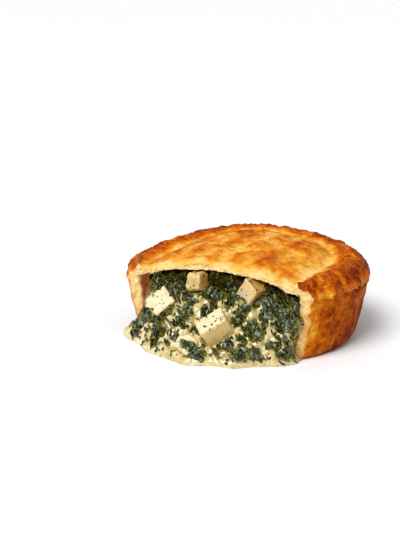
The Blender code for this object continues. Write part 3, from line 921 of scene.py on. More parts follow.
cheeseCubes = [     # middle, edge lengths, turn about X, Y and Z in degrees
    ((-26.4, -38.2, 19.8), (11.6, 10.0, 11.0), (-125, -38, 35)),
    ((-8.9, -36.5, 32.2), (9.2, 7.9, 8.4), (-173, 8, 171)),
    ((18.2, -33.3, 29.5), (12.2, 9.5, 10.2), (-94, -56, -16)),
    ((6.6, -48.0, 14.9), (13.8, 9.2, 11.9), (-154, -32, 29)),
    ((-5.0, -53.0, 6.7), (9.0, 9.6, 7.4), (-46, 52, -138)),
]
spillEdge = [       # front edge of the spill on the table
    (-50.2, -35.6), (-47.6, -39.6), (-39.4, -43.9), (-33.4, -47.5), (-28.5, -53.1),
    (-21.6, -55.9), (-15.4, -57.6), (-8.7, -60.2), (-2.1, -62.6), (1.9, -60.9),
    (10.0, -57.0), (19.7, -56.2), (26.6, -49.8), (34.6, -45.5), (38.6, -42.1),
    (41.6, -38.8), (42.4, -36.0),
]
spillSlope = [      # share of the way to that edge, share of the height
    (0.0, 1.0), (0.14, 0.90), (0.30, 0.73), (0.46, 0.54), (0.62, 0.36),
    (0.77, 0.215), (0.89, 0.125), (0.965, 0.065), (1.0, 0.0),
]
spillLeft = [       # x of its two sides by height
    (0.2, -50.0), (3.5, -48.0), (6.9, -45.6), (9.0, -42.8), (10.9, -40.4), (15.3, -38.0),
    (19.0, -37.4), (23.0, -35.9), (29.0, -35.6),
]
spillRight = [(0.2, 42.4), (2.0, 40.6), (5.3, 39.0), (8.7, 39.8), (14.6, 40.8), (29.0, 42.3)]
shoulderLeft = [    # height of the spill at its two ends by x
    (-49.7, 1.5), (-48.0, 4.2), (-45.6, 7.4), (-43.3, 10.6), (-41.4, 14.0), (-39.0, 31.0),
]
shoulderRight = [(40.5, 31.0), (41.6, 9.0), (42.4, 1.5)]
rowsInside = [-18.0, -12.0, -4.0, 8.0, 24.0, 42.0, 57.0]        # y, where nothing shows
fillingLook = {
    "underLid": 0.9,
    "recess": 2.0,
    "recessDepth": 16.0,
    "columns": 410,
    "slopeRows": 186,
    "lobeMiddle": (-45.2, -34.0, 0.4),
    "lobeRadii": (5.0, 5.4, 4.4),
    "leafRise": 1.10,
    "wrinkles": 1.35,
    "sauceSwell": 0.80,
    "milkyAndLit": 0.52,
    "soaked": 0.9,
}
# wilted leaf lies thick (+) or the sauce lies bare (-) here, as seen from the front:
# x, place up the slope, half width, half height, strength
leafMasses = [
    (37.9, -17.6, 4.0, 4.4, 0.8),
    (30.0, -15.5, 3.2, 2.6, 0.4),
    (26.5, -27.6, 2.6, 2.0, 0.6),
    (22.8, -36.5, 3.8, 2.6, 0.6),
    (16.5, -21.4, 2.8, 2.0, 0.5),
    (-9.8, -24.2, 3.6, 3.9, 0.8),
    (-1.0, -22.0, 3.6, 1.8, 0.6),
    (-21.2, -33.8, 3.4, 2.2, 0.5),
    (-10.5, -34.4, 3.0, 3.0, 0.5),
    (1.4, -44.8, 5.5, 1.8, 0.9),
    (-37.8, -28.7, 4.4, 2.2, 0.5),
    (-17.6, -14.4, 3.6, 3.6, 0.7),
    (38.0, -33.0, 2.2, 1.0, 0.9),
    (18.1, -44.2, 3.5, 0.9, 0.9),
    (10.6, -16.4, 2.4, 2.5, 0.5),
    (30.5, -21.7, 3.0, 1.6, -0.4),
    (20.1, -26.6, 2.6, 2.4, 0.3),
    (33.5, -27.5, 2.4, 2.0, -0.5),
    (24.5, -20.0, 1.8, 3.4, -0.6),
    (1.6, -14.3, 2.9, 2.0, 0.4),
    (-6.3, -17.5, 4.4, 2.6, -0.9),
    (-14.8, -37.4, 1.8, 2.6, -0.8),
    (-24.0, -42.4, 5.0, 1.6, -0.8),
    (-30.0, -34.0, 4.0, 1.6, -0.5),
    (8.0, -27.5, 3.0, 1.6, -0.4),
]


def underLidAt(x, y, outward=0.0):
    angle = angleOf(x, y)
    target = np.hypot(x, y) + outward
    inner = notDrawnOut(target, angle)
    shrink = inner / np.maximum(target, 0.01)
    return along(lidUnderside, inner) + liftAt(x * shrink, y * shrink) * undersideFade(inner)


def fillingHeight(x, y):
    look = fillingLook
    atCut = cutY(pastry["seamHeight"])
    behind = y - atCut
    roof = np.minimum(np.minimum(underLidAt(x, y, -5.0), underLidAt(x, y)), underLidAt(x, y, 5.0))
    uneven = 1.0 + 0.7 * bumps(x, 25.0, 8.0, 5.0)
    sunk = look["recess"] * smooth(look["recessDepth"], 4.0, behind) * uneven
    near = underLidAt(x, y) - look["underLid"] - sunk
    share = np.clip(-behind / np.maximum(atCut - along(spillEdge, x), 0.5), 0.0, 1.0)
    start = underLidAt(x, np.full_like(x, atCut)) - look["underLid"] - look["recess"] * uneven
    shoulder = np.where(x < 0.0, along(shoulderLeft, x), along(shoulderRight, x))
    front = np.minimum(start, shoulder) * along(spillSlope, share)
    inside = np.where(behind > look["recessDepth"], roof - look["underLid"], near)
    return np.where(behind >= 0.0, inside, front)


def upSlope(y, z):
    # how far up the slope of the filling a spot is, whatever stands out there
    return 0.81 * y + 0.59 * z


def leafCover(x, slope, z):
    # above 0 the sauce is covered by wilted leaf
    bentX = x + 1.5 * bumps(x, slope, 40.0, 3.4)
    bentSlope = slope + 1.5 * bumps(x, slope, 60.0, 3.4)
    cover = 0.42 * bumps(bentX, bentSlope, 1.0, 6.0) + 0.70 * bumps(bentX, bentSlope, 9.0, 3.2)
    cover += 0.34 * bumps(bentX, bentSlope, 5.0, 1.5) - 0.17
    for left, up, halfWidth, halfHeight, strength in leafMasses:
        reach = ((bentX - left) / halfWidth) ** 2 + ((bentSlope - up) / halfHeight) ** 2
        cover += strength * 0.55 * np.exp(-reach ** 1.5)
    # the sauce runs free along the front edge
    return cover - 0.55 * smooth(4.5, 1.2, z) + 0.30 * smooth(25.0, 30.0, z)


def fillingRelief(x, y, height):
    fade = smooth(0.5, 6.0, height)
    return fade * (1.5 * bumps(x, y, height, 7.5) + 0.7 * bumps(x, y, height, 3.4))


def pillows(x, y, z, size):
    # soft swellings with sharp creases between them, 0 to 1
    return np.sin(np.minimum(np.abs(bumps(x, y, z, size)) * 2.7, 1.0) * math.pi / 2)


def cubeDistance(points):
    # mm from the nearest cheese cube, below 0 inside one
    nearest = np.full(points.shape[:-1], 99.0)
    for place, edges, turn in cheeseCubes:
        rotation = np.array(Euler([math.radians(part) for part in turn]).to_matrix())
        over = np.abs((points - np.array(place)) @ rotation) - np.array(edges) / 2
        outside = np.linalg.norm(np.maximum(over, 0.0), axis=-1)
        nearest = np.minimum(nearest, outside + np.minimum(over.max(axis=-1), 0.0))
    return nearest


def foldsAt(x, slope):
    bentX = x + 0.8 * bumps(x, slope, 20.0, 2.0)
    bentSlope = slope + 0.8 * bumps(x, slope, 30.0, 2.0)
    return pillows(bentX, bentSlope, 3.0, 2.6) + 0.16 * pillows(bentX, bentSlope, 8.0, 1.3)


def fineRelief(x, slope, height):
    # leaf stands up out of the sauce in wrinkled clumps
    look = fillingLook
    cover = leafCover(x, slope, height)
    leafy = smooth(-0.05, 0.09, cover)
    rise = look["leafRise"] * smooth(-0.05, 0.40, cover) + look["wrinkles"] * (foldsAt(x, slope) - 0.5)
    swell = look["sauceSwell"] * (bumps(x, slope, 11.0, 2.6) + 0.5 * bumps(x, slope, 13.0, 1.4))
    free = smooth(0.5, 4.0, x - along(spillLeft, height))
    relief = leafy * rise + (1.0 - leafy) * swell * smooth(0.5, 5.0, height)
    return relief * smooth(0.2, 2.2, height) * free


def fillingBlock():
    look = fillingLook
    atCut = cutY(pastry["seamHeight"])
    columns, slopeRows = look["columns"], look["slopeRows"]
    share = np.linspace(0.0, 1.0, columns + 1)
    near = spillEdge[0][0] + (spillEdge[-1][0] - spillEdge[0][0]) * share
    edge = along(spillEdge, near)
    lines = []
    for number in range(slopeRows + 1):
        lines.append((near, atCut + (edge - atCut) * (1.0 - (number / slopeRows) ** 1.15)))
    for back in list(np.arange(atCut + 0.3, -22.0, 0.34)) + rowsInside:
        spread = smooth(-34.0, -20.0, back)
        lines.append((near + (112.0 * share - 56.0 - near) * spread, np.full_like(near, back)))
    x = np.array([line[0] for line in lines])
    y = np.array([line[1] for line in lines])
    height = fillingHeight(x, y)
    relief = fillingRelief(x, y, height)
    relief[-len(rowsInside):] = 0.0
    relief[0] = 0.0
    height = height + relief * 0.8
    y = y - relief * 0.5 * smooth(2.0, 8.0, height)
    points = np.stack([x, y, height], axis=-1)
    # then the fine relief, straight out of that surface
    acrossX = np.gradient(points, axis=1)
    upwards = np.gradient(points, axis=0)
    normal = np.cross(acrossX, upwards)
    normal /= np.maximum(np.linalg.norm(normal, axis=2, keepdims=True), 1e-9)
    fine = fineRelief(x, upSlope(y, height), height)
    # the cubes stay clear of it
    beside = cubeDistance(points)
    fine = fine * smooth(0.2, 2.4, beside) - 0.9 * smooth(1.8, 0.0, beside)
    fine[-len(rowsInside) - 1:] = 0.0
    points = points + normal * fine[..., None]
    points[0, :, 2] = -1.2
    # closed to a block that reaches below the table
    shape = sheetShape(points)
    rim = [edge for edge in shape.edges if edge.is_boundary]
    grown = bmesh.ops.extrude_edge_only(shape, edges=rim)
    for item in grown["geom"]:
        if isinstance(item, bmesh.types.BMVert):
            item.co.z = -6.0 * mm
    bmesh.ops.holes_fill(shape, edges=[edge for edge in shape.edges if edge.is_boundary])
    bmesh.ops.recalc_face_normals(shape, faces=shape.faces)
    return pieceFromShape("creamedFilling", shape)


def roomForFilling():
    # inside the case, and in front of the cut between the two ends of the wall
    rows, columns = 110, 60
    z = np.linspace(-5.0, 55.0, rows)
    left, right = along(spillLeft, z), along(spillRight, z)
    share = np.linspace(0.0, 1.0, columns)
    x = left[:, None] + (right - left)[:, None] * share[None, :]
    height = np.broadcast_to(z[:, None], x.shape)
    wave = 0.5 * bumps(x, 21.0, height, 4.5) + 0.3 * bumps(x, 25.0, height, 2.0)
    x = x + wave * smooth(0.3, 0.5, np.abs(share - 0.5))[None, :]
    room = blockInFront("room", x, cutY(height) + 1.1, height)
    wall = [(radius - 0.2, height + 0.1) for radius, height in caseInside(0.1)[1:]]
    above = 62.0
    profile = [(0.0, wall[0][1])] + wall + [(wall[-1][0], above), (0.0, above)]
    inside = turned("inside", profile[::-1], 90)
    # but not where the wall is thicker
    points = readPoints(inside)
    radius = np.maximum(np.hypot(points[:, 0], points[:, 1]), 0.001)
    thick = thickShare(points[:, 0], points[:, 1]) * (radius > 40.0)
    points[:, :2] *= (1.0 - thick * along(pastry["thickEnd"], points[:, 2]) / radius)[:, None]
    writePoints(inside, points)
    boolean(room, inside, "UNION")
    return room


def spillLobe():
    look = fillingLook
    shape = bmesh.new()
    bmesh.ops.create_uvsphere(shape, u_segments=60, v_segments=40, radius=1.0)
    for vertex in shape.verts:
        ball = vertex.co.copy()
        swell = 1.0 + 0.14 * noise.noise(ball / 0.8) + 0.05 * noise.noise(ball / 0.3)
        parts = zip(ball, look["lobeRadii"], look["lobeMiddle"])
        vertex.co = Vector([part * radius * swell + middle for part, radius, middle in parts]) * mm
    return pieceFromShape("lobe", shape)


def tableBlock():
    bpy.ops.mesh.primitive_cube_add(size=1.0)
    block = bpy.context.object
    for vertex in block.data.vertices:
        vertex.co = Vector((vertex.co.x * 150.0, vertex.co.y * 160.0, vertex.co.z * 20.0 - 9.9)) * mm
    return block


def buildFilling():
    look = fillingLook
    piece = fillingBlock()
    boolean(piece, roomForFilling(), "INTERSECT")
    boolean(piece, spillLobe(), "UNION")
    boolean(piece, tableBlock(), "DIFFERENCE")
    biggestBody(piece)
    piece.data.materials.clear()
    addMaterials(piece, sauce, driedSauce)
    piece.data.shade_smooth()
    x, y, z = readPoints(piece).T
    slope = upSlope(y, z)
    cover = leafCover(x, slope, z)
    # whiter on the left and along the front edge, darker under the lid as painted shade, darker by the
    # leaves, and paler on the sauce's swells and darker in its hollows as painted light and shade
    milkyAndLit = look["milkyAndLit"] + 0.07 * smooth(6.5, 0.8, z) - 0.14 * smooth(18.0, 30.0, z)
    milkyAndLit += 0.10 * smooth(-8.0, -24.0, x) * smooth(12.0, 4.0, z)
    milkyAndLit += 0.14 * bumps(x, slope, 4.0, 8.0)
    # painted light and shade: the same noise as the sauce's swells, so its swells are paler and its hollows
    # darker
    milkyAndLit += 0.45 * bumps(x, slope, 11.0, 2.6) * smooth(0.5, 5.0, z)
    milkyAndLit -= 0.16 * smooth(-0.25, 0.0, cover)
    giveNumbers(piece, "milkyAndLit", milkyAndLit)
    giveNumbers(piece, "leaf", smooth(-0.12, 0.20, cover) * smooth(0.6, 1.6, z))
    giveNumbers(piece, "crest", foldsAt(x, slope))
    # the baked sauce near the cut under the lid, painted darker still as the lid's shade
    bakedAndShaded = smooth(-7.0, -1.0, y - cutY(z) + 2.5 * bumps(x, slope, 17.0, 4.0)) * smooth(22.0, 28.0, z)
    giveNumbers(piece, "bakedAndShaded", bakedAndShaded)
    # what the oven dried under the lid has no shine
    repaint(piece, bakedAndShaded > 0.35, 1)
    # beside the left end of the wall it is soaked and browned
    aside = x - along(spillLeft, z) + 0.8 * bumps(x, slope, 19.0, 2.5)
    byWall = smooth(3.4, 0.8, aside) * smooth(7.0, 11.0, z) * smooth(-44.0, -41.0, y)
    giveNumbers(piece, "soaked", look["soaked"] * byWall)
    return piece


cubeLook = {
    "cuts": 30,
    "rounding": (0.8, 2.4, 1.0, 0.75, 1.3),         # for cubes 1 to 5
    "swell": (0.35, 1.70, 0.45, 0.30, 0.80),
    "curd": 0.12,
    "chips": 0.35,
}


def buildCube(number, place, edges, turn):
    look = cubeLook
    shape = bmesh.new()
    bmesh.ops.create_cube(shape, size=1.0)
    bmesh.ops.subdivide_edges(shape, edges=list(shape.edges), cuts=look["cuts"], use_grid_fill=True)
    piece = pieceFromShape(f"cheeseCube{number}", shape)
    flat = readPoints(piece) * mm * np.array(edges)
    x, y, z = flat.T
    seed = place[0]
    rounding = look["rounding"][number - 1] * (1.0 + 0.7 * bumps(x + seed, y, z, 4.0))[:, None]
    half = np.array(edges) / 2
    core = np.clip(flat, rounding - half, half - rounding)
    away = flat - core
    length = np.maximum(np.linalg.norm(away, axis=1, keepdims=True), 1e-6)
    soft = core + away / length * np.where(length > 1e-5, rounding, 0.0)
    outward = flat / np.linalg.norm(flat, axis=1, keepdims=True)
    push = look["swell"][number - 1] * bumps(x + seed, y, z, 4.5)
    push += look["curd"] * bumps(x + seed, y, z, 1.4)
    push -= look["chips"] * np.clip(bumps(x - seed, y, z, 2.2) - 0.22, 0.0, 1.0)
    soft = soft + outward * push[:, None]
    rotation = Euler([math.radians(part) for part in turn]).to_matrix()
    writePoints(piece, soft @ np.array(rotation).T + np.array(place))
    # painted shade: the sides that face down and to the right, away from the light, and the cubes high up
    # under the lid take the warmer shaded tone
    normals = np.array([tuple(vertex.normal) for vertex in piece.data.vertices])
    facing = normals @ np.array((0.8, 0.1, -0.6))
    high = smooth(27.0, 33.0, readPoints(piece)[:, 2] + 2.0 * bumps(x, y, z + seed, 4.0))
    giveNumbers(piece, "paintedShade", 0.75 * smooth(-0.35, 0.30, facing) + 0.4 * high)
    # under the lid they brown; painted shade darkens the sides that face right most of all
    right = smooth(0.1, 0.8, normals @ np.array((0.95, 0.1, 0.25)))
    giveNumbers(piece, "brownedAndShaded", high * (0.30 + 0.55 * right))
    addMaterials(piece, cheese)
    piece.data.shade_smooth()
    return piece


spinachLook = {
    "seed": 7,
    "wads": 92,
    "wadLength": (3.2, 6.6),
    "wadWidth": (2.2, 4.2),
    "wadHeight": (1.4, 2.7),
    "wadCells": (13, 34),       # rings and parts of a ring
    "wadSpacing": 2.5,
    "leaves": 16,
    "leafLength": (4.5, 8.5),
    "leafWidth": (2.8, 5.0),
    "leafCells": (26, 16),
    "bigLeafCells": (38, 24),
    "leafSpacing": 4.2,
    "shreds": 250,
    "shredLength": (1.2, 2.8),
    "shredWidth": (0.7, 1.5),
    "shredHeight": (0.45, 0.95),
    "shredCells": (6, 16),
    "shredSpacing": 1.15,
    "thickness": 0.30,
}
# the big wilted leaves, each where it lies: x, y, z, length, width, turn in degrees
bigLeaves = [
    (37.0, -37.6, 20.8, 9.5, 6.5, 80),
    (13.8, -51.2, 9.6, 6.4, 5.0, 95),
    (-1.8, -56.6, 6.6, 12.0, 5.0, -25),
    (1.4, -58.4, 3.6, 9.0, 3.6, 0),
    (-9.8, -44.1, 19.6, 7.5, 5.2, 90),
    (-17.6, -38.2, 27.4, 7.5, 5.0, 70),
    (26.5, -43.4, 12.6, 5.0, 4.0, 30),
    (30.0, -38.0, 25.0, 6.5, 4.5, -30),
    (-38.0, -41.8, 8.4, 7.0, 3.0, 30),
    (22.8, -49.8, 6.0, 7.0, 4.5, 20),
]


def insideCube(point, spare):
    for place, edges, turn in cheeseCubes:
        rotation = Euler([math.radians(part) for part in turn]).to_matrix()
        local = rotation.transposed() @ (point - Vector(place))
        if all(abs(part) < edge / 2 + spare for part, edge in zip(local, edges)):
            return True
    return False


def inOrder(mesh):
    # the faces by place, as a boolean hands them over in a new order each time
    return sorted(mesh.polygons, key=lambda face: tuple(face.center))


def frontSpots(piece, count, spacing, spare, draw, keep):
    # random spots on the open side of the filling, spread by area
    faces = [face for face in inOrder(piece.data)
             if face.center.y < -28.5 * mm and face.center.z > 0.5 * mm and face.normal.z > -0.25
             and face.normal.y < 0.45]
    areas = np.cumsum([face.area for face in faces])
    cells = {}
    spots = []
    for _try in range(count * 40):
        if len(spots) == count:
            break
        face = faces[int(np.searchsorted(areas, draw.random() * areas[-1]))]
        point = face.center / mm
        if draw.random() > keep(point) or insideCube(point, spare):
            continue
        key = tuple(math.floor(part / spacing) for part in point)
        near = [other for dx in (-1, 0, 1) for dy in (-1, 0, 1) for dz in (-1, 0, 1)
                for other in cells.get((key[0] + dx, key[1] + dy, key[2] + dz), ())]
        if any((point - other).length < spacing for other in near):
            continue
        cells.setdefault(key, []).append(point)
        spots.append((point, Vector(face.normal)))
    return spots


def crest(height):
    # a round crest, and a sharp crease where the noise passes nought
    return math.sin(min(abs(height) * 2.6, 1.0) * math.pi / 2)


def spotBelow(tree, start, slope, above, reach):
    # where the surface is, straight under or over a spot
    hit, _normal, _index, _distance = tree.ray_cast((start + slope * above) * mm, -slope, reach * mm)
    return hit / mm if hit else start


def drapedSheet(tree, point, normal, length, width, cells, spin, curl, wrinkle, sink, draw, clear=True):
    # one wilted leaf: a crumpled sheet laid over what is under it, edges sunk in
    slope = (normal * 0.4 + Vector((0.0, -0.55, 0.75))).normalized()
    ahead = slope.to_track_quat("Z", "Y") @ Euler((0.0, 0.0, spin)).to_quaternion()
    side, other = ahead @ Vector((1, 0, 0)), ahead @ Vector((0, 1, 0))
    seed = draw.uniform(0.0, 90.0)
    points, creamy, crests = [], [], []
    sheer = float(draw.random() < 0.3)
    for row in range(cells[1] + 1):
        for column in range(cells[0] + 1):
            u, v = column / cells[0] * 2 - 1, row / cells[1] * 2 - 1
            half = math.sqrt(max(0.06, 1.0 - 0.92 * u * u))
            half *= 1.0 + 0.55 * noise.noise((u * 2.1, seed, 1.0 if v > 0 else 4.0))
            a = u * length / 2 + 0.6 * noise.noise((v * 2.0, seed, 7.0))
            b = v * half * width / 2 + curl * u * u * width * 0.35
            start = point + side * a + other * b
            base = spotBelow(tree, start, slope, 7.0, 16.0)
            fold = crest(noise.noise((a / 3.0 + seed, b / 1.9, seed)))
            crumple = wrinkle * (1.2 * fold + 0.25 * crest(noise.noise((a / 1.3, b / 1.0, seed + 5.0))))
            edge = max(abs(u), abs(v)) ** 3
            lift = 0.35 + crumple + 0.7 * wrinkle * (1.0 - v * v) - edge * sink
            spot = base + slope * lift
            spot.z = max(spot.z, 0.35)
            points.append(spot)
            creamy.append(0.12 + 0.36 * edge - 0.10 * crumple / wrinkle + 0.10 * sheer)
            crests.append(0.1 + 0.75 * crumple / wrinkle)
    if clear:
        # sunk where it would cover a cheese cube
        beside = cubeDistance(np.array([tuple(spot) for spot in points]))
        points = [spot - slope * float(drop) for spot, drop in zip(points, 3.0 * smooth(1.6, 0.0, beside))]
    return points, gridFaces(cells[1] + 1, cells[0] + 1), creamy, crests


def crumpledWad(tree, point, length, width, height, spin, rings, segments, draw):
    # a wad of wilted leaf, half sunk in the sauce: pillowed, with deep creases
    ahead = slopeOut.to_track_quat("Z", "Y") @ Euler((0.0, 0.0, spin)).to_quaternion()
    side, other = ahead @ Vector((1, 0, 0)), ahead @ Vector((0, 1, 0))
    seed = draw.uniform(0.0, 90.0)
    polar = [(0.0, 0.0)] + [(ring / rings, math.tau * part / segments)
                            for ring in range(1, rings + 1) for part in range(segments)]
    points, creamy, crests = [], [], []
    for reach, angle in polar:
        outline = 1.0 + 0.7 * noise.noise((math.cos(angle) * 0.9, math.sin(angle) * 0.9, seed))
        a = reach * outline * length / 2 * math.cos(angle)
        b = reach * outline * width / 2 * math.sin(angle)
        base = spotBelow(tree, point + side * a + other * b, slopeOut, 6.0, 14.0)
        bend = 0.9 * noise.noise((a / 2.6, b / 2.6, seed + 40.0))
        fold = crest(noise.noise((a / 2.5 + bend, b / 1.8 + bend, seed)))
        dome = math.sqrt(max(0.0, 1.0 - reach ** 2.6))
        lift = dome * height * (0.20 + 1.1 * fold) + 0.25 - 0.75 * reach ** 6
        spot = base + slopeOut * lift
        spot.z = max(spot.z, 0.35)
        points.append(spot)
        creamy.append(0.12 + 0.44 * reach ** 2.5 - 0.08 * fold)
        crests.append(0.1 + 0.9 * fold * dome)
    beside = cubeDistance(np.array([tuple(spot) for spot in points]))
    points = [spot - slopeOut * float(drop) for spot, drop in zip(points, 3.5 * smooth(1.2, 0.0, beside))]
    faces = [(0, part + 1, (part + 1) % segments + 1) for part in range(segments)]
    for ring in range(rings - 1):
        inner = 1 + ring * segments
        outer = inner + segments
        for part in range(segments):
            following = (part + 1) % segments
            faces.append((inner + part, outer + part, outer + following, inner + following))
    return points, faces, creamy, crests


def joinSheets(name, sheets, thickness):
    piece = mergeParts(name, sheets)
    for number, values in (("creamy", 2), ("crest", 3)):
        giveNumbers(piece, number, np.concatenate([sheet[values] for sheet in sheets]))
    solid = piece.modifiers.new("thickness", "SOLIDIFY")
    solid.thickness = thickness * mm
    solid.offset = -1.0
    applyModifiers(piece)
    piece.data.shade_smooth()
    return piece


def leafiness(point):
    # leaves lie where the sauce is covered, and not at the open edges
    clear = float(smooth(1.8, 5.0, point.z)) * float(smooth(2.0, 4.5, point.x - along(spillLeft, point.z)))
    clear *= float(smooth(31.0, 29.0, point.z))
    place = (point.x, upSlope(point.y, point.z), point.z)
    cover = float(leafCover(*[np.array(part) for part in place]))
    return clear * (0.07 if cover < 0.0 else 0.9)


def shredding(point):
    # the small bits lie in drifts too
    clear = float(smooth(0.8, 4.5, point.z)) * float(smooth(1.0, 3.0, point.x - along(spillLeft, point.z)))
    return (0.06 + 0.94 * clear) * (0.45 + 1.2 * noise.noise((point.x / 5.0, point.y / 5.0, point.z / 5.0)))


def surfaceTree(pieces):
    spots, faces = [], []
    for piece in pieces:
        first = len(spots)
        spots += [vertex.co.copy() for vertex in piece.data.vertices]
        faces += [tuple(corner + first for corner in face.vertices) for face in piece.data.polygons]
    return BVHTree.FromPolygons(spots, faces)


def buildSpinach(filling, cubes):
    look = spinachLook
    draw = random.Random(look["seed"])
    tree, cubeTree = surfaceTree([filling]), surfaceTree([filling] + cubes)
    leaves = []
    up = Vector((0.0, -0.55, 0.8))
    for x, y, z, length, width, turn in bigLeaves:
        leaves.append(drapedSheet(
            cubeTree, Vector((x, y, z)), up, length, width, look["bigLeafCells"], math.radians(turn),
            draw.uniform(-0.6, 0.6), draw.uniform(0.75, 1.05), draw.uniform(0.8, 1.2), draw, False))
    for point, normal in frontSpots(filling, look["leaves"], look["leafSpacing"], 1.0, draw, leafiness):
        leaves.append(drapedSheet(
            tree, point, normal, draw.uniform(*look["leafLength"]), draw.uniform(*look["leafWidth"]),
            look["leafCells"], draw.uniform(0.0, math.tau), draw.uniform(-1.0, 1.0),
            draw.uniform(0.65, 1.05), draw.uniform(0.8, 1.4), draw))
    wads = []
    for point, _normal in frontSpots(filling, look["wads"], look["wadSpacing"], 0.8, draw, leafiness):
        wads.append(crumpledWad(
            tree, point, draw.uniform(*look["wadLength"]), draw.uniform(*look["wadWidth"]),
            draw.uniform(*look["wadHeight"]), draw.uniform(0.0, math.tau), *look["wadCells"], draw))
    shreds = []
    for point, _normal in frontSpots(filling, look["shreds"], look["shredSpacing"], 0.5, draw, shredding):
        shreds.append(crumpledWad(
            tree, point, draw.uniform(*look["shredLength"]), draw.uniform(*look["shredWidth"]),
            draw.uniform(*look["shredHeight"]), draw.uniform(0.0, math.tau), *look["shredCells"], draw))
    pieces = [joinSheets("spinachWads", wads, look["thickness"]),
              joinSheets("spinachLeaves", leaves, look["thickness"]),
              joinSheets("spinachShreds", shreds, look["thickness"] * 0.7)]
    for piece in pieces:
        addMaterials(piece, leaf)
    return pieces


# curds that came off the cubes: x, y, z and size
cheeseCrumbs = [
    (-7.8, -52.2, 10.0, 3.0), (-5.9, -52.4, 10.9, 2.2), (-9.6, -51.4, 9.3, 1.8),
    (-4.4, -51.6, 11.6, 1.7), (-7.2, -51.0, 12.2, 1.5), (35.2, -39.4, 12.2, 3.0),
    (33.2, -40.4, 8.4, 1.8), (-27.0, -46.8, 9.6, 1.5),
]


def buildCrumbs(filling, cubes):
    tree = surfaceTree([filling] + cubes)
    shape = bmesh.new()
    for x, y, z, size in cheeseCrumbs:
        start = Vector((x, y, z))
        middle = spotBelow(tree, start, slopeOut, 6.0, 14.0) + slopeOut * 0.10 * size
        grown = bmesh.ops.create_icosphere(shape, subdivisions=4, radius=1.0)
        for vertex in grown["verts"]:
            ahead = vertex.co.copy()
            swell = 1.0 + 0.55 * noise.noise(ahead * 1.1 + start)
            swell += 0.25 * noise.noise(ahead * 3.0 + start)
            vertex.co = (middle + ahead * (size / 2 * swell)) * mm
    piece = pieceFromShape("cheeseCrumbs", shape)
    count = len(piece.data.vertices)
    # a little of the cubes' painted shade tone, and no browning
    giveNumbers(piece, "paintedShade", np.full(count, 0.25))
    giveNumbers(piece, "brownedAndShaded", np.zeros(count))
    addMaterials(piece, cheese)
    piece.data.shade_smooth()
    return piece


fleckLook = {
    "seed": 23,
    "herbs": 520,
    "herbSize": (0.28, 0.65),
    "bigHerbSize": (0.8, 1.3),      # every sixth one
    "reds": 6,
    "redSize": (0.6, 1.0),
}


def fleckMesh(size, seed, point, normal, spin, lift):
    # a small bent flake with five to seven corners
    corners = 5 + seed % 3
    ahead = normal.to_track_quat("Z", "Y") @ Euler((0.0, 0.0, spin)).to_quaternion()
    rim = []
    for number in range(corners):
        angle = math.tau * number / corners
        reach = size / 2 * (1.0 + 0.5 * noise.noise((number * 1.3, seed * 0.7, 2.0)))
        rim.append(point + ahead @ Vector((reach * 1.2 * math.cos(angle), reach * math.sin(angle), 0.0)))
    top = point + normal * lift
    points = [spot + normal * lift * 0.5 for spot in rim] + [spot - normal * 0.15 for spot in rim] + [top]
    faces = []
    for number in range(corners):
        following = (number + 1) % corners
        faces.append((number, following, 2 * corners))
        faces.append((number + corners, following + corners, following, number))
    faces.append(tuple(range(2 * corners - 1, corners - 1, -1)))
    return points, faces


def spotsOnPieces(pieces, count, draw, keep):
    faces, areas = [], []
    for piece in pieces:
        for face in inOrder(piece.data):
            if face.normal.y < 0.3 and face.normal.z > -0.3 and face.center.y < -27.0 * mm:
                faces.append(face)
                areas.append(face.area)
    areas = np.cumsum(areas)
    spots = []
    for _try in range(count * 30):
        if len(spots) == count:
            break
        face = faces[int(np.searchsorted(areas, draw.random() * areas[-1]))]
        point = face.center / mm
        if draw.random() < keep(point):
            spots.append((point, Vector(face.normal)))
    return spots


def clustered(point):
    return 0.2 + 2.0 * max(0.0, noise.noise((point.x / 2.6, point.y / 2.6, point.z / 2.6)))


def buildFlecks(filling, cubes):
    look = fleckLook
    draw = random.Random(look["seed"])
    herbs = []
    onCubes = look["herbs"] // 3
    spots = spotsOnPieces(cubes, onCubes, draw, clustered)
    spots += spotsOnPieces([filling], look["herbs"] - onCubes, draw, clustered)
    for number, (point, normal) in enumerate(spots):
        size = draw.uniform(*look["herbSize" if number % 6 else "bigHerbSize"])
        herbs.append(fleckMesh(size, number, point, normal, draw.uniform(0.0, math.tau), 0.12))
    reds = []
    spots = spotsOnPieces([filling], look["reds"], draw, lambda spot: 1.0)
    for number, (point, normal) in enumerate(spots):
        size = draw.uniform(*look["redSize"])
        reds.append(fleckMesh(size, number, point, normal, draw.uniform(0.0, math.tau), 0.4))
    return [joinFlecks("herbFlecks", herbs, herb), joinFlecks("redFlecks", reds, redPepper)]


def joinFlecks(name, flecks, material):
    piece = mergeParts(name, flecks)
    addMaterials(piece, material)
    piece.data.shade_smooth()
    return piece


studio = {
    "cameraSpot": (0.22478, -0.48785, 0.17439),
    "cameraAim": (-0.07596, 0.09656, 0.0),
    "lens": 76.23,
    "world": (0.94, 0.97, 1.0),
    "worldStrength": 0.18,
    "glinting": ["softbox"],
    # the way each light travels, its strength, softness in degrees and colour
    "lights": {
        "softbox": ((0.10, 0.78, -0.90), 3.0, 32.0, (0.985, 0.99, 1.0)),
        "overhead": ((0.0, -0.2, -1.0), 1.18, 120.0, (0.96, 0.98, 1.0)),
    },
    "floorColour": (0.92, 0.92, 0.92),
}


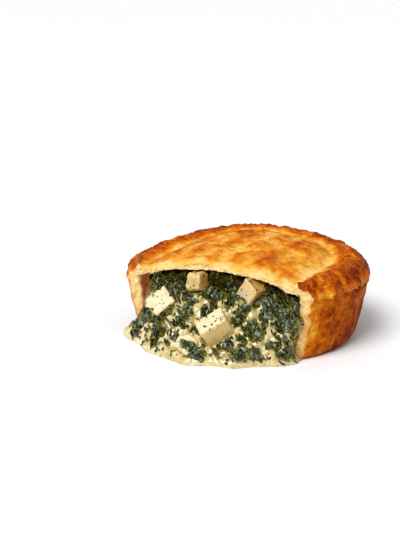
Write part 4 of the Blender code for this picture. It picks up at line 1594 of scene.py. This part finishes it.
def buildStudio():
    look = studio
    floorMaterial = plainMaterial("paleFloor", look["floorColour"], look["floorColour"], 40.0, 0.6, 0.0)
    bpy.ops.mesh.primitive_plane_add(size=40.0)
    floor = bpy.context.object
    floor.name = "floor"
    addMaterials(floor, floorMaterial)
    world = bpy.data.worlds.new("studio")
    bpy.context.scene.world = world
    world.use_nodes = True
    background = world.node_tree.nodes["Background"]
    background.inputs["Color"].default_value = (*look["world"], 1.0)
    background.inputs["Strength"].default_value = look["worldStrength"]
    for name, (direction, strength, softness, colour) in look["lights"].items():
        light = bpy.data.lights.new(name, "SUN")
        light.energy = strength
        light.color = colour
        light.angle = math.radians(softness)
        lamp = bpy.data.objects.new(name, light)
        lamp.rotation_euler = Vector(direction).to_track_quat("-Z", "Y").to_euler()
        lamp.visible_glossy = name in look["glinting"]
        bpy.context.scene.collection.objects.link(lamp)
    camera = bpy.data.objects.new("camera", bpy.data.cameras.new("camera"))
    camera.data.lens = look["lens"]
    camera.data.sensor_width = 36.0
    camera.data.clip_start = 0.01
    camera.location = look["cameraSpot"]
    aim = Vector(look["cameraAim"]) - Vector(look["cameraSpot"])
    camera.rotation_euler = aim.to_track_quat("-Z", "Y").to_euler()
    bpy.context.scene.collection.objects.link(camera)
    bpy.context.scene.camera = camera
    bpy.context.scene.view_settings.view_transform = "Standard"


# heights of the lid's two faces, and the finishes that several pieces share
topCurve = curveThrough(lidTop, 0.5)
underCurve = curveThrough(lidUnderside, 0.5)
crust = crustMaterial("glazedCrust", 0.20, 0.40, 0.05, 0.14)
wallCrust = crustMaterial("dryCrust", 0.50, 0.68, 0.02, 0.16)
innerCrust = crustMaterial("soakedCrust", 0.80, 0.95, 0.0, 0.16)
crumb = crumbMaterial("pastryCrumb")
sauce = fillingMaterial("creamedSpinach", 0.75)
driedSauce = fillingMaterial("bakedSpinach", 0.05)
leaf = leafMaterial("wetSpinach")
cheese = cheeseMaterial("whiteCheese")
herb = plainMaterial("choppedHerb", (0.015, 0.025, 0.005), (0.045, 0.060, 0.010), 1.0, 0.45, 0.05)
redPepper = plainMaterial("redPepper", (0.26, 0.045, 0.020), (0.42, 0.11, 0.05), 1.0, 0.3, 0.05)

buildStudio()
print("studio ready")
lidPiece = buildLid()
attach(lidPiece, "root")
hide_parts("pastry_lid")
print("lid", len(lidPiece.data.polygons))
casePiece = buildCase()
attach(casePiece, "root")
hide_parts("pastry_case")
print("case", len(casePiece.data.polygons))
fillingPiece = buildFilling()
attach(fillingPiece, "root")
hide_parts("spinach_filling")
print("filling", len(fillingPiece.data.polygons))
cubePieces = []
for number, (place, edges, turn) in enumerate(cheeseCubes, start=1):
    cube = buildCube(number, place, edges, turn)
    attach(cube, "root")
    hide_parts(f"cheese_cube_{number}")
    cubePieces.append(cube)
crumbPiece = buildCrumbs(fillingPiece, cubePieces)
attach(crumbPiece, "root")
print("cheese cubes", len(cubePieces))
for piece in buildSpinach(fillingPiece, cubePieces) + buildFlecks(fillingPiece, cubePieces):
    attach(piece, "root")
    print(piece.name, len(piece.data.polygons))
